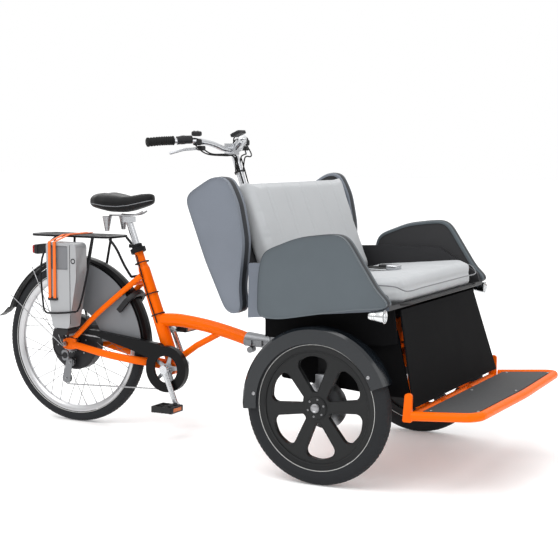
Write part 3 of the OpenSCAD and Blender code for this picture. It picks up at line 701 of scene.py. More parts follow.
def front_wheel(side):
    """Rolled lips round the six openings, a lipped rim, the hub's cap with its six screws and the valve."""
    word = "left" if side > 0 else "right"
    body = "front_wheel_" + word
    hub = np.array([AXLE_X, side * WHEEL_Y, FRONT_R])
    piece = Piece("wheel_dressing_" + word, body)
    for k in range(6):
        base = math.radians(60 * k + 24 * side)
        # The CAD turns the wheel's plane about X, so its Y runs along -Z on the left and +Z on the right
        loop = spoke_window(base)
        for y in (side * 0.0135, -side * 0.0038):
            path = np.stack([hub[0] + loop[:, 0], np.full(len(loop), hub[1] + y),
                hub[2] - side * loop[:, 1]], axis=1)
            closed = np.vstack([path, path[:2]])
            piece.add(tube(closed, 0.0017, 8)[:-2], WHEEL_BLACK, along=True)
    for y in (side * 0.0165, -side * 0.0165):
        lip = turned(hub + [0, y, 0], [0, side, 0],
            [(0.0, 0.1862), (0.0016, 0.1872), (0.002, 0.19), (0.0, 0.1935)], 128)
        piece.add(lip.transpose(1, 0, 2), WHEEL_BLACK, along=True)
    ring = turned(hub + [0, side * 0.012, 0], [0, side, 0],
        [(0.0, 0.0395), (0.0045, 0.0385), (0.0062, 0.0355), (0.0062, 0.0235), (0.0, 0.0225)], 64)
    piece.add(ring.transpose(1, 0, 2), WHEEL_BLACK, along=True)
    for k in range(6):
        a = TAU * k / 6 + 0.3
        place = hub + [0.0295 * math.cos(a), side * 0.018, 0.0295 * math.sin(a)]
        piece.add(socket_screw(place, [0, side, 0], 0.0032, 0.0028), STEEL)
    cap = [(0.0, 0.0149), (0.0235, 0.0149), (0.0262, 0.0138), (0.0272, 0.0118), (0.0255, 0.0095),
        (0.0268, 0.0)]
    piece.add(turned(hub + [0, side * 0.001, 0], [0, side, 0], cap[:-1] + [(0.0266, 0.004)], 40), STEEL)
    valve = math.radians(75)
    foot = hub + [0.187 * math.cos(valve), side * 0.006, 0.187 * math.sin(valve)]
    inward = -np.array([math.cos(valve), 0, math.sin(valve)])
    piece.add(turned(foot, inward, [(0, 0.0042), (0.006, 0.004), (0.008, 0.0026), (0.026, 0.0026),
        (0.0265, 0.0036),
        (0.036, 0.0034), (0.038, 0.0024)], 16), DARK_PLASTIC)
    piece.make()
    disc = Piece("brake_disc_" + word, body)
    place = hub + [0, -side * 0.054, 0]
    for r0, r1 in ((0.0605, 0.0812), (0.0245, 0.034)):
        profile = [(-0.0023, r0), (-0.0024, r1), (0.0024, r1), (0.0023, r0)]
        disc.add(turned(place, [0, side, 0], profile, 96).transpose(1, 0, 2), STEEL, along=True)
    for k in range(18):
        a = TAU * k / 18
        at_hole = place + [0.0705 * math.cos(a), 0, 0.0705 * math.sin(a)]
        disc.add(turned(at_hole, [0, side, 0], [(-0.0027, 0.0028), (-0.0027, 0.0036), (0.0027, 0.0036),
            (0.0027, 0.0028)], 12).transpose(1, 0, 2), DARK_PLASTIC, along=True)
    for k in range(6):
        a = TAU * k / 6
        arm = np.array([[0.031, 0, 0.0], [0.047, 0, 0.004], [0.064, 0, 0.0]])
        c, s = math.cos(a), math.sin(a)
        path = np.stack([arm[:, 0] * c - arm[:, 2] * s, arm[:, 1], arm[:, 0] * s + arm[:, 2] * c],
            axis=1) + place
        disc.add(strip(smooth(path, 5), [0, 1, 0], 0.0021, 0.005, 10), STEEL)
    disc.make()


def rear_wheel():
    """A double-walled rim, round spokes crossing from the motor's flanges to their nipples, and the
    cassette's cogs, whose radius follows the clipped cosine of (teeth * angle)."""
    piece = Piece("rear_rim_dressing", "rear_wheel")
    low, high = low_of("rear_rim"), high_of("rear_rim")
    half, outer = (high - low)[1] / 2, (high - low)[2] / 2
    hub = middle("rear_rim")
    y = half
    profile = [(-y, outer), (-y, outer - 0.009), (-y * 0.94, outer - 0.012), (-y * 0.55, outer - 0.021),
        (-y * 0.3, outer - 0.0235), (y * 0.3, outer - 0.0235), (y * 0.55, outer - 0.021),
            (y * 0.94, outer - 0.012),
        (y, outer - 0.009), (y, outer), (y * 0.8, outer - 0.0008), (y * 0.74, outer - 0.007),
        (-y * 0.74, outer - 0.007), (-y * 0.8, outer - 0.0008)]
    piece.add(turned(hub, [0, 1, 0], profile, 180).transpose(1, 0, 2), RIM_ALLOY, along=True)
    flange = (high_of("hub_motor") - low_of("hub_motor"))[2] / 2
    count = 36
    for k in range(count):
        side = 1 if k % 2 else -1
        swing = (1 if (k // 2) % 2 else -1) * 0.42
        a1 = TAU * k / count
        a0 = a1 + swing
        inner = hub + [(flange - 0.004) * math.cos(a0), side * 0.021, (flange - 0.004) * math.sin(a0)]
        end = hub + [(outer - 0.0235) * math.cos(a1), side * 0.003, (outer - 0.0235) * math.sin(a1)]
        t = np.linspace(0, 1, 3)[:, None]
        piece.add(tube(inner + (end - inner) * t, 0.0012, 6), DARK_STEEL)
        t2 = np.array([0.945, 0.985, 1.0])[:, None]
        piece.add(tube(inner + (end - inner) * t2, [0.0022, 0.0024, 0.0024], 8), ALLOY)
    a = math.radians(100)
    foot = hub + [(outer - 0.022) * math.cos(a), 0, (outer - 0.022) * math.sin(a)]
    inward = -np.array([math.cos(a), 0, math.sin(a)])
    piece.add(turned(foot, inward, [(0, 0.0045), (0.004, 0.0042), (0.006, 0.0026), (0.026, 0.0026),
        (0.0265, 0.0036),
        (0.034, 0.0034), (0.036, 0.0022)], 14), DARK_PLASTIC)
    piece.make(replaces=["rear_rim", "rear_spokes"])

    motor = Piece("hub_motor_dressing", "rear_wheel")
    low, high = low_of("hub_motor"), high_of("hub_motor")
    for side, face in ((-1, low[1]), (1, high[1])):
        for k in range(8):
            a = TAU * k / 8 + 0.2
            r = flange * 0.62
            motor.add(socket_screw([hub[0] + r * math.cos(a), face - side * 0.0012,
                hub[2] + r * math.sin(a)],
                [0, side, 0], 0.0032, 0.0020), STEEL)
    motor.make()

    cogs = Piece("cassette_cogs", "rear_wheel")
    low, high = low_of("cassette"), high_of("cassette")
    place = middle("cassette")
    wide = high[1] - low[1]
    biggest = (high - low)[2] / 2
    for k in range(8):
        r = biggest * (1 - 0.075 * k)
        teeth = int(round(r * TAU / 0.0127))
        angle = np.arange(teeth * 8) * TAU / (teeth * 8)
        tip = r - 0.0042 + 0.0040 * np.clip(np.cos(teeth * angle) * 1.4, -0.6, 1)
        y0 = high[1] - 0.003 - k * (wide - 0.006) / 7.5
        rows = [(y0, 0.55), (y0, 1.0), (y0 - 0.0019, 1.0), (y0 - 0.0019, 0.55)]
        grid = np.stack([np.stack([place[0] + tip * s * np.cos(angle), np.full(len(angle), yy),
            place[2] + tip * s * np.sin(angle)], axis=1) for yy, s in rows])
        cogs.add(grid.transpose(1, 0, 2), STEEL, along=True)
    core = [(low[1] + 0.001, biggest * 0.3), (low[1] + 0.002, biggest * 0.4),
        (high[1] - 0.001, biggest * 0.62),
        (high[1], biggest * 0.5)]
    cogs.add(turned([place[0], 0, place[2]], [0, 1, 0], core, 40), DARK_PLASTIC)
    cogs.make(replaces=["cassette"])


# ---------------------------------------------------------------- the bench
WING = [(-502, 947, 26), (-392, 1015, 36), (-338, 1016, 30), (-296, 930, 90), (-271, 800, 200),
    (-288, 640, 200),
    (-276, 544, 22), (-338, 556, 26), (-420, 730, 160)]
ARM = [(-208, 548, 20), (-204, 690, 60), (-188, 772, 40), (-60, 822, 160), (30, 834, 100), (104, 840, 50),
    (222, 658, 140), (266, 622, 14), (262, 604, 12), (150, 594, 80), (0, 570, 160), (-120, 548, 120)]


def banded_plate(piece, outline, y0, y1, edge, face, band, inner, strip_width):
    """A plate in three finishes: the outer face, a raised band that follows its edge, and the inner face.
    The face lies a little inside the band, whose section is an arch carried along the outline."""
    piece.add(plate(drawn_in(outline, 0.0012), y0, y1, edge * 0.8), face)
    side = 1 if y1 > y0 else -1
    rows = []
    for t, lift in ((0.0, 0.0002), (0.25, 0.0011), (0.75, 0.0013), (1.0, 0.0001)):
        ring = drawn_in(outline, edge * 0.75 + (strip_width - edge * 0.75) * t)
        rows.append(np.stack([ring[:, 0], np.full(len(ring), y1 - side * 0.0013 + side * lift),
            ring[:, 1]], axis=1))
    low = [np.stack([r[:, 0], r[:, 1] - side * 0.002, r[:, 2]], axis=1) for r in rows[::-1]]
    piece.add(np.stack(rows + low).transpose(1, 0, 2), band, along=True)
    rows = []
    for t in (0.04, 0.5, 0.96):
        ring = drawn_in(outline, -0.0002 if t == 0.5 else 0.0006)
        rows.append(np.stack([ring[:, 0], np.full(len(ring), y0 + (y1 - y0) * (0.16 + 0.6 * t)),
            ring[:, 1]], axis=1))
    back = [np.stack([drawn_in(outline, 0.004)[:, 0], r[:, 1], drawn_in(outline, 0.004)[:, 1]],
        axis=1) for r in rows[::-1]]
    piece.add(np.stack(rows + back).transpose(1, 0, 2), band, along=True)
    pad = drawn_in(outline, 0.013)
    piece.add(plate(pad, y0 + side * 0.0035, y0 - side * 0.0002, 0.0022, crown=0.0), inner)


def flowing(loop, reach):
    """The closed loop with each point moved to the mean of its neighbours within reach, done twice."""
    for _ in range(2):
        loop = np.mean([np.roll(loop, k, axis=0) for k in range(-reach, reach + 1)], axis=0)
    return loop


def bench_sides():
    """The wings and arm panels: moulded shells with a rolled edge painted near black as shade, and a dark
    padded inner face.
    """
    wings = Piece("wing_shells", "front_section")
    arms = Piece("arm_shells", "front_section")
    wing, arm = flowing(side_outline(WING, 220), 4), flowing(side_outline(ARM, 260), 4)
    for side in (-1, 1):
        # The rim finish passed here is painted shade on the rolled edges.
        banded_plate(wings, wing, side * 0.4308, side * (high_of("wings")[1] - 0.0003), 0.008, SLATE,
            SLATE_RIM_SHADE, CHARCOAL, 0.0125)
        outer = high_of("arm_panels")[1]
        banded_plate(arms, arm, side * 0.4696, side * (outer - 0.0003), 0.007, SLATE_DEEP, SLATE_RIM_SHADE,
            CHARCOAL, 0.0095)
    wings.make(replaces=["wings"])
    arms.make(replaces=["arm_panels"])


def puffed(name, node, shrink, cap, voxel, frames=20):
    """A cushion from its CAD solid: a copy drawn in by the shrink, remeshed, blown up as cloth under
    pressure with each point's travel capped, then smoothed."""
    source = NODES[node]
    mesh = source.data.copy()
    made = bpy.data.objects.new(name, mesh)
    bpy.context.collection.objects.link(made)
    made.matrix_world = source.matrix_world
    mesh.materials.clear()
    mesh.materials.append(LIGHT_VINYL)
    bm = bmesh.new()
    bm.from_mesh(mesh)
    bmesh.ops.remove_doubles(bm, verts=bm.verts, dist=1e-5)
    bmesh.ops.recalc_face_normals(bm, faces=bm.faces)
    bm.to_mesh(mesh)
    bm.free()
    mesh.transform(made.matrix_world)
    made.matrix_world = Matrix.Identity(4)
    count = len(mesh.vertices)
    place = np.empty(count * 3)
    mesh.vertices.foreach_get("co", place)
    place = place.reshape(-1, 3)
    centre = (place.min(axis=0) + place.max(axis=0)) / 2
    half = (place.max(axis=0) - place.min(axis=0)) / 2
    place = centre + (place - centre) * (1 - np.array(shrink) / half)
    mesh.vertices.foreach_set("co", place.ravel())
    bpy.context.view_layer.objects.active = made
    bpy.ops.object.select_all(action="DESELECT")
    made.select_set(True)
    remesh = made.modifiers.new("remesh", "REMESH")
    remesh.mode, remesh.voxel_size = "VOXEL", voxel
    bpy.ops.object.modifier_apply(modifier=remesh.name)
    mesh = made.data
    start = np.empty(len(mesh.vertices) * 3)
    mesh.vertices.foreach_get("co", start)
    cloth = made.modifiers.new("cloth", "CLOTH")
    cloth.settings.use_pressure = True
    cloth.settings.uniform_pressure_force = 4.0
    cloth.settings.tension_stiffness = 30
    cloth.settings.effector_weights.gravity = 0
    cloth.settings.quality = 3
    cloth.point_cache.frame_end = frames + 1
    for step in range(1, frames + 1):
        bpy.context.scene.frame_set(step)
    bpy.ops.object.modifier_apply(modifier=cloth.name)
    mesh = made.data
    end = np.empty(len(mesh.vertices) * 3)
    mesh.vertices.foreach_get("co", end)
    travel = (end - start).reshape(-1, 3)
    far = np.linalg.norm(travel, axis=1, keepdims=True)
    travel *= np.minimum(1, cap / np.maximum(far, 1e-9))
    mesh.vertices.foreach_set("co", (start.reshape(-1, 3) + travel).ravel())
    bpy.context.scene.frame_set(1)
    softer = made.modifiers.new("softer", "SMOOTH")
    softer.factor, softer.iterations = 0.5, 3
    bpy.ops.object.modifier_apply(modifier=softer.name)
    mesh = made.data
    return made


def keep_inside(made, node, spare, shape=None):
    """Moves the points of a soft piece back inside its CAD solid's box, then applies its shape rule."""
    mesh = made.data
    place = np.empty(len(mesh.vertices) * 3)
    mesh.vertices.foreach_get("co", place)
    place = place.reshape(-1, 3)
    place = np.clip(place, low_of(node) - spare, high_of(node) + spare)
    if shape is not None:
        place = shape(place)
    mesh.vertices.foreach_set("co", place.ravel())
    mesh.polygons.foreach_set("use_smooth", [True] * len(mesh.polygons))
    mesh.update()


def seat_seams(place):
    """Three pressed lines across the cushion: the fold above the front apron and two lengthwise channels.
    Each sinks as a narrow bell curve of the distance from its line."""
    x, y, z = place.T - np.array([[AXLE_X], [0], [0]])
    top = np.clip((z - 0.60) / 0.04, 0, 1)
    for line in (-0.14, 0.14):
        depth = 0.0045 * np.exp(-((y - line) / 0.006) ** 2) * np.clip((0.225 - x) / 0.02, 0, 1) * top
        place[:, 2] -= depth
    fold = 0.005 * np.exp(-((z - 0.652) / 0.006) ** 2) * np.clip((x - 0.20) / 0.02, 0, 1)
    place[:, 0] -= fold
    return place


def back_seams(place):
    """Vertical channels down the backrest, each a narrow bell curve of the distance across."""
    y = place[:, 1]
    for line in (-0.27, -0.14, 0.0, 0.14, 0.27):
        depth = 0.005 * np.exp(-((y - line) / 0.007) ** 2)
        place[:, 0] -= depth * 0.95
    return place


def cushions():
    seat = puffed("seat_pad", "seat_cushion", (0.006, 0.002, 0.004), 0.012, 0.008)
    keep_inside(seat, "seat_cushion", 0.0, seat_seams)
    finish_soft(seat, "seat_cushion")
    back = puffed("back_pad", "backrest_cushion", (0.006, 0.0005, 0.0015), 0.012, 0.008)
    keep_inside(back, "backrest_cushion", 0.0, back_seams)
    finish_soft(back, "backrest_cushion")


def finish_soft(made, node):
    """One subdivision, then the piece joins the front section as padding."""
    finer = made.modifiers.new("finer", "SUBSURF")
    finer.levels = finer.render_levels = 1
    bpy.ops.object.select_all(action="DESELECT")
    bpy.context.view_layer.objects.active = made
    made.select_set(True)
    bpy.ops.object.modifier_apply(modifier=finer.name)
    made.data.polygons.foreach_set("use_smooth", [True] * len(made.data.polygons))
    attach(made, "front_section")
    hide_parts(node)


# ---------------------------------------------------------------- saddle and handlebar
def saddle():
    """The saddle: cross-sections along its length, each a superellipse whose half width, top and bottom
    follow smooth curves, dished a little on top; piping runs round the lower edge."""
    low, high = low_of("saddle"), high_of("saddle")
    t = np.linspace(0, 1, 60)
    x = low[0] + 0.001 + (high[0] - low[0] - 0.002) * (0.5 - 0.5 * np.cos(math.pi * t))
    part = (x - low[0]) / (high[0] - low[0])
    full = high[1] - 0.001
    keys = [0, 0.02, 0.08, 0.2, 0.34, 0.5, 0.64, 0.8, 0.92, 0.98, 1]
    wide = np.interp(part, keys, np.array([0.05, 0.55, 0.86, 1.0, 0.94, 0.68, 0.44, 0.31, 0.25, 0.17,
        0.03])) * full
    z_top = np.interp(part, keys, [0.908, 0.922, 0.930, 0.934, 0.929, 0.922, 0.924, 0.930, 0.932, 0.928,
        0.912])
    z_low = np.interp(part, keys, [0.894, 0.878, 0.870, 0.864, 0.857, 0.856, 0.862, 0.874, 0.884, 0.892,
        0.904])
    for curve in (wide, z_top, z_low):
        curve[1:-1] = np.convolve(curve, [0.2, 0.6, 0.2], "same")[1:-1]
    angle = np.arange(56) * TAU / 56
    c, s = signed_power(np.cos(angle), 0.75), signed_power(np.sin(angle), 0.85)
    y = wide[:, None] * c[None, :]
    middle_z, half_z = (z_top + z_low) / 2, (z_top - z_low) / 2
    z = middle_z[:, None] + half_z[:, None] * s[None, :]
    dish = np.exp(-(y / 0.022) ** 2) * np.clip(1 - np.abs(part[:, None] - 0.35) / 0.42, 0,
        1) * (s[None, :] > 0)
    z = z - 0.005 * dish
    grid = np.stack([np.broadcast_to(x[:, None], y.shape), y, z], axis=2)
    piece = Piece("saddle_cover", "rear_frame")
    piece.add(grid, SADDLE_VINYL)
    edge = np.concatenate([np.stack([x, wide * 0.985, middle_z - half_z * 0.25], axis=1)[3:-3],
        np.stack([x, -wide * 0.985, middle_z - half_z * 0.25], axis=1)[3:-3][::-1]])
    piece.add(tube(np.vstack([edge, edge[:2]]), 0.0017, 8)[:-2], GREY_PLASTIC, along=True)
    made = piece.make(replaces=["saddle"], sharp=70)
    springs = Piece("saddle_pods", "rear_frame")
    for side in (-1, 1):
        foot = at(-1.114, side * 0.057, 0.784)
        height, ribs = 0.058, []
        for i in range(49):
            h = height * i / 48
            ribs.append((h, 0.0085 + 0.0105 * i / 48 + 0.0008 * math.sin(TAU * 6 * i / 48) - 0.0005))
        springs.add(turned(foot, [0, 0, 1], ribs, 32), STEEL)
    springs.make()


def controls():
    """Ribbed grips, curved levers, switch block, bell, display and the cables that leave them."""
    grips = Piece("grip_sleeves", "front_section")
    for side in (-1, 1):
        path = smooth(spots((-685, side * 255, 1136), (-714, side * 290, 1134), (-750, side * 334, 1129)),
            24)
        t = np.linspace(0, 1, len(path))
        radius = 0.0158 + 0.0009 * signed_power(np.sin(t * TAU * 11), 0.5)
        radius[:3], radius[-4:] = [0.0165, 0.0169, 0.0169], [0.0169, 0.0169, 0.0166, 0.013]
        grips.add(tube(path, radius, 28), RUBBER)
    grips.make(replaces=["handlebar_grips"])
    levers = Piece("brake_lever_blades", "front_section")
    for side in (-1, 1):
        path = smooth(spots((-624, side * 172, 1108), (-640, side * 205, 1106), (-654, side * 240, 1103),
            (-668, side * 268, 1096), (-681, side * 289, 1090)), 8)
        levers.add(strip(path, [0, 0, 1], 0.0052, 0.0032, 14, 0.6), ALLOY)
        levers.add(block(at(-0.621, side * 0.166, 1.109), (0.026, 0.024, 0.018), 0.35), DARK_PLASTIC)
        levers.add(turned(at(-0.621, side * 0.166, 1.1005), [0, 0, 1],
            [(0, 0.0042), (0.0165, 0.0042), (0.0172, 0.0036)],
            16), STEEL)
    levers.make(replaces=["brake_levers"])
    console = Piece("switch_and_display", "front_section")
    tilt = (Vector((0, 1, 0)), math.radians(-24))
    console.add(block(at(-0.559, 0, 1.1635), (0.043, 0.057, 0.013), 0.25, tilt), DARK_PLASTIC)
    console.add(block(at(-0.5615, 0, 1.1692), (0.032, 0.046, 0.0035), 0.18, tilt), DISPLAY)
    console.add(block(at(-0.626, -0.191, 1.1615), (0.032, 0.034, 0.019), 0.5), DARK_PLASTIC)
    for dx in (-0.008, 0.006):
        console.add(dome(at(-0.628 + dx, -0.191, 1.1705), [0, 0, 1], 0.0042, 0.0022), GREY_PLASTIC)
    console.make(replaces=["handlebar_console"])
    fittings = Piece("bar_fittings", "front_section")
    for side in (-1, 1):
        outer = smooth(spots((-676, side * 246, 1136), (-658, side * 225, 1139),
            (-641, side * 203, 1140)), 5)
        fittings.add(tube(outer, [0.0150] * 3 + [0.0162] * 3 + [0.0150] * 5, 24), DARK_PLASTIC)
        fittings.add(block(at(-0.628, side * 0.183, 1.131), (0.030, 0.026, 0.024), 0.45), DARK_PLASTIC)
    fittings.add(turned(at(-0.607, 0.118, 1.141), [0, 0, 1],
        [(0, 0.012), (0.004, 0.019), (0.012, 0.0175), (0.018, 0.012),
        (0.0205, 0.005)], 36), CHROME)
    for path in (
            ((-618, -160, 1106), (-596, -130, 1088), (-570, -70, 1086), (-561, -24, 1072),
                (-559, -17, 1010)),
            ((-640, -200, 1132), (-600, -170, 1090), (-556, -100, 1082), (-548, -34, 1080),
                (-550, -19, 1020)),
            ((-618, 160, 1106), (-596, 130, 1088), (-570, 70, 1086), (-561, 24, 1072), (-559, 17, 1010)),
            ((-626, 190, 1122), (-590, 160, 1090), (-556, 92, 1078), (-546, 30, 1074), (-548, 18, 1014)),
            ((-572, 0, 1155), (-585, 12, 1140), (-583, 18, 1110), (-577, 21, 1060))):
        fittings.add(tube(smooth(spots(*path), 10), 0.0026, 8), RUBBER)
    for y in (-0.0195, 0.0195, -0.013):
        lean = (at(-0.5745, 0, 1.0875) - at(-0.358, 0, 0.434))
        t = np.linspace(0.98, 0.28, 20)[:, None]
        sway = np.sin(t * 9 + y * 300) * 0.0012
        path = at(-0.358, 0, 0.434) + lean * t + np.array([[0.011, y, 0.002]]) + sway * np.array([[1, 0.4,
            0]])
        fittings.add(tube(path, 0.0026, 8), RUBBER)
    for t in (0.9, 0.62, 0.4):
        centre = at(-0.358, 0, 0.434) + (at(-0.5745, 0, 1.0875) - at(-0.358, 0, 0.434)) * t
        lean = np.array([-0.2165, 0, 0.6535])
        fittings.add(turned(centre + [0.002, 0, 0], lean,
            [(-0.002, 0.0195), (-0.002, 0.0216), (0.002, 0.0216),
            (0.002, 0.0195)], 36).transpose(1, 0, 2), DARK_PLASTIC, along=True)
    fittings.make()


# ---------------------------------------------------------------- lamps, belts and trim of the bench
def headlamps():
    """Turned lamp bodies with cooling rings, a chrome bowl, a clear front and a bracket."""
    piece = Piece("headlamp_bodies", "front_section")
    for side in (-1, 1):
        back = at(0.196, side * 0.504, 0.580)
        body = [(0.0, 0.006), (0.001, 0.0125), (0.006, 0.0148), (0.013, 0.0152), (0.014, 0.0140),
            (0.017, 0.0140),
            (0.018, 0.0162), (0.021, 0.0164), (0.022, 0.0150), (0.025, 0.0152), (0.026, 0.0175),
                (0.036, 0.0198),
            (0.048, 0.0216), (0.0535, 0.0219), (0.054, 0.0212), (0.054, 0.0195), (0.046, 0.0165),
                (0.036, 0.0095),
            (0.032, 0.0045)]
        piece.add(turned(back, [1, 0, 0], body, 48), CHROME)
        piece.add(turned(back, [1, 0, 0],
            [(0.0500, 0.0192), (0.0512, 0.019), (0.0525, 0.0150), (0.0532, 0.008)], 40),
            CLEAR_LENS)
        piece.add(turned(back, [1, 0, 0], [(0.0300, 0.004), (0.043, 0.0038), (0.045, 0.0028)], 16),
            LENS_WHITE)
        piece.add(strip(smooth(spots((207, side * 497, 582), (203, side * 491, 588),
            (200, side * 487, 592)), 6), [0, 1, 0],
            0.004, 0.0018, 12), DARK_PLASTIC)
    piece.make(replaces=["headlamps"])


def belts():
    """Two lap belts lying on the seat: flat webbing whose ends go under the backrest and into the buckles."""
    piece = Piece("lap_belts", "front_section")
    slope = math.tan(math.radians(6))
    for y, reach, metal_end in ((-0.030, 0.085, True), (0.060, 0.020, False)):
        x = np.linspace(-0.121, -0.005 + reach, 24)
        wave = 0.003 + 0.004 * np.sin((x + 0.121) / (0.116 + reach) * math.pi) ** 2
        path = np.stack([AXLE_X + x, y + 0.15 * y * np.sin(x * 18), 0.6685 + (x + 0.12) * slope + wave],
            axis=1)
        piece.add(strip(path, [0, 1, 0], 0.0215, 0.0011, 12), WEBBING)
        end = path[-1]
        if metal_end:
            piece.add(block(end + [0.008, 0, 0.001], (0.044, 0.050, 0.018), 0.3), ALLOY)
            piece.add(block(end + [0.012, 0, 0.0065], (0.020, 0.022, 0.008), 0.3), GREY_PLASTIC)
        else:
            piece.add(block(end + [0.006, 0, 0.001], (0.050, 0.044, 0.014), 0.3), DARK_PLASTIC)
            piece.add(block(end + [0.014, 0, 0.0075], (0.018, 0.024, 0.006), 0.3), GREY_PLASTIC)
    piece.make(replaces=["seat_belts"])


def seat_lip():
    """The dark lip along the seat's front edge and the grey piping round the cushion, as tubes on
    smooth paths."""
    piece = Piece("seat_piping", "front_section")
    half = 0.434
    ring = smooth(spots((150, -half * 1000, 598), (205, -half * 1000, 604), (238, -388, 607),
        (264, -338, 606),
        (266, -200, 605), (266, 0, 605), (266, 200, 605), (264, 338, 606), (238, 388, 607),
            (205, half * 1000, 604),
        (150, half * 1000, 598)), 10)
    piece.add(tube(ring, 0.0042, 12), DARK_PLASTIC)
    top = smooth(spots((120, -437, 668), (200, -437, 672), (238, -392, 665), (262, -344, 648),
        (264, -200, 648),
        (264, 0, 648), (264, 200, 648), (262, 344, 648), (238, 392, 665), (200, 437, 672),
            (120, 437, 668)), 10)
    piece.add(tube(top, 0.0022, 10), GREY_PLASTIC)
    piece.make()


def panel_screws():
    """Low round screws on the leg panel and the deck."""
    piece = Piece("panel_screws", "front_section")
    low, high = low_of("leg_panel"), high_of("leg_panel")
    top, foot = high[2], low[2]
    lean = (high[0] - low[0] - 0.006) / (top - foot)
    out = np.array([1, 0, lean]) / math.hypot(1, lean)
    for z, ys in ((top - 0.03, (-0.26, -0.06, 0.14, 0.28)), (foot + 0.03, (-0.28, -0.06, 0.16, 0.30)),
            ((top + foot) / 2, (-0.29, 0.29))):
        for y in ys:
            place = np.array([high[0] - 0.0034 - (z - foot) * lean, y, z])
            piece.add(dome(place, out, 0.0062, 0.003), STEEL)
    low, high = low_of("footplate"), high_of("footplate")
    slope = math.tan(math.radians(4.4))
    for x in (0.372, 0.530):
        for y in (-0.405, 0.0, 0.405):
            z = 0.2725 + (x - 0.352) * slope
            piece.add(dome(at(x, y, z), [-slope, 0, 1], 0.0055, 0.0022), STEEL)
    piece.make()


def front_guards():
    """A rolled bead along both lower edges of each guard, and the heads of the screws that hold it."""
    piece = Piece("front_guard_trim", "front_section")
    for side in (-1, 1):
        hub = np.array([AXLE_X, side * WHEEL_Y, FRONT_R])
        angle = np.radians(np.linspace(21.6, 184.4, 80))
        for y in (-0.0325, 0.0325):
            path = np.stack([hub[0] + 0.2168 * np.cos(angle), np.full(80, hub[1] + y),
                hub[2] + 0.2168 * np.sin(angle)], axis=1)
            piece.add(tube(path, 0.0015, 8), SLATE_GLOSS)
        for degrees in (32, 172):
            a = math.radians(degrees)
            for y in (-0.0335, 0.0335):
                place = hub + [0.226 * math.cos(a), y, 0.226 * math.sin(a)]
                sign = 1 if y > 0 else -1
                piece.add(dome(place + [0, sign * 0.0006, 0], [0, sign, 0], 0.0065, 0.003), STEEL)
    piece.make()


# ---------------------------------------------------------------- drive, frame and luggage details
def rollers():
    """The chain: along each run, pairs of figure-eight plates and a pin between them at every half inch."""
    piece = Piece("chain_links", "rear_frame")
    for (x0, z0), (x1, z1) in (((-1300, 367), (-852, 336.5)), ((-1322, 155.5), (-845, 175))):
        start, end = at(x0 / 1000, CHAIN_Y, z0 / 1000), at(x1 / 1000, CHAIN_Y, z1 / 1000)
        length = np.linalg.norm(end - start)
        count = int(length / 0.0127)
        along = (end - start) / length
        rise = np.cross(along, [0, 1.0, 0])
        for k in range(count):
            centre = start + along * (k + 0.5) * 0.0127
            offset = 0.0025 if k % 2 else 0.0015
            u = np.array([-1, -0.62, -0.2, 0.2, 0.62, 1])[:, None]
            half = np.array([0.0008, 0.0029, 0.0021, 0.0021, 0.0029, 0.0008])[:, None]
            for side in (-1, 1):
                base = centre + along * u * 0.0078
                rows = [base + rise * half * b + np.array([0, side * (offset - 0.0005 * a), 0]) for a, b in
                    ((0, -1), (1, -1), (1, 1), (0, 1))]
                piece.add(np.stack(rows).transpose(1, 0, 2), STEEL)
            pin = start + along * k * 0.0127
            piece.add(turned(pin, [0, 1, 0], [(-0.0026, 0.0016), (0.0026, 0.0016)], 8), STEEL)
    piece.make(replaces=["chain"])


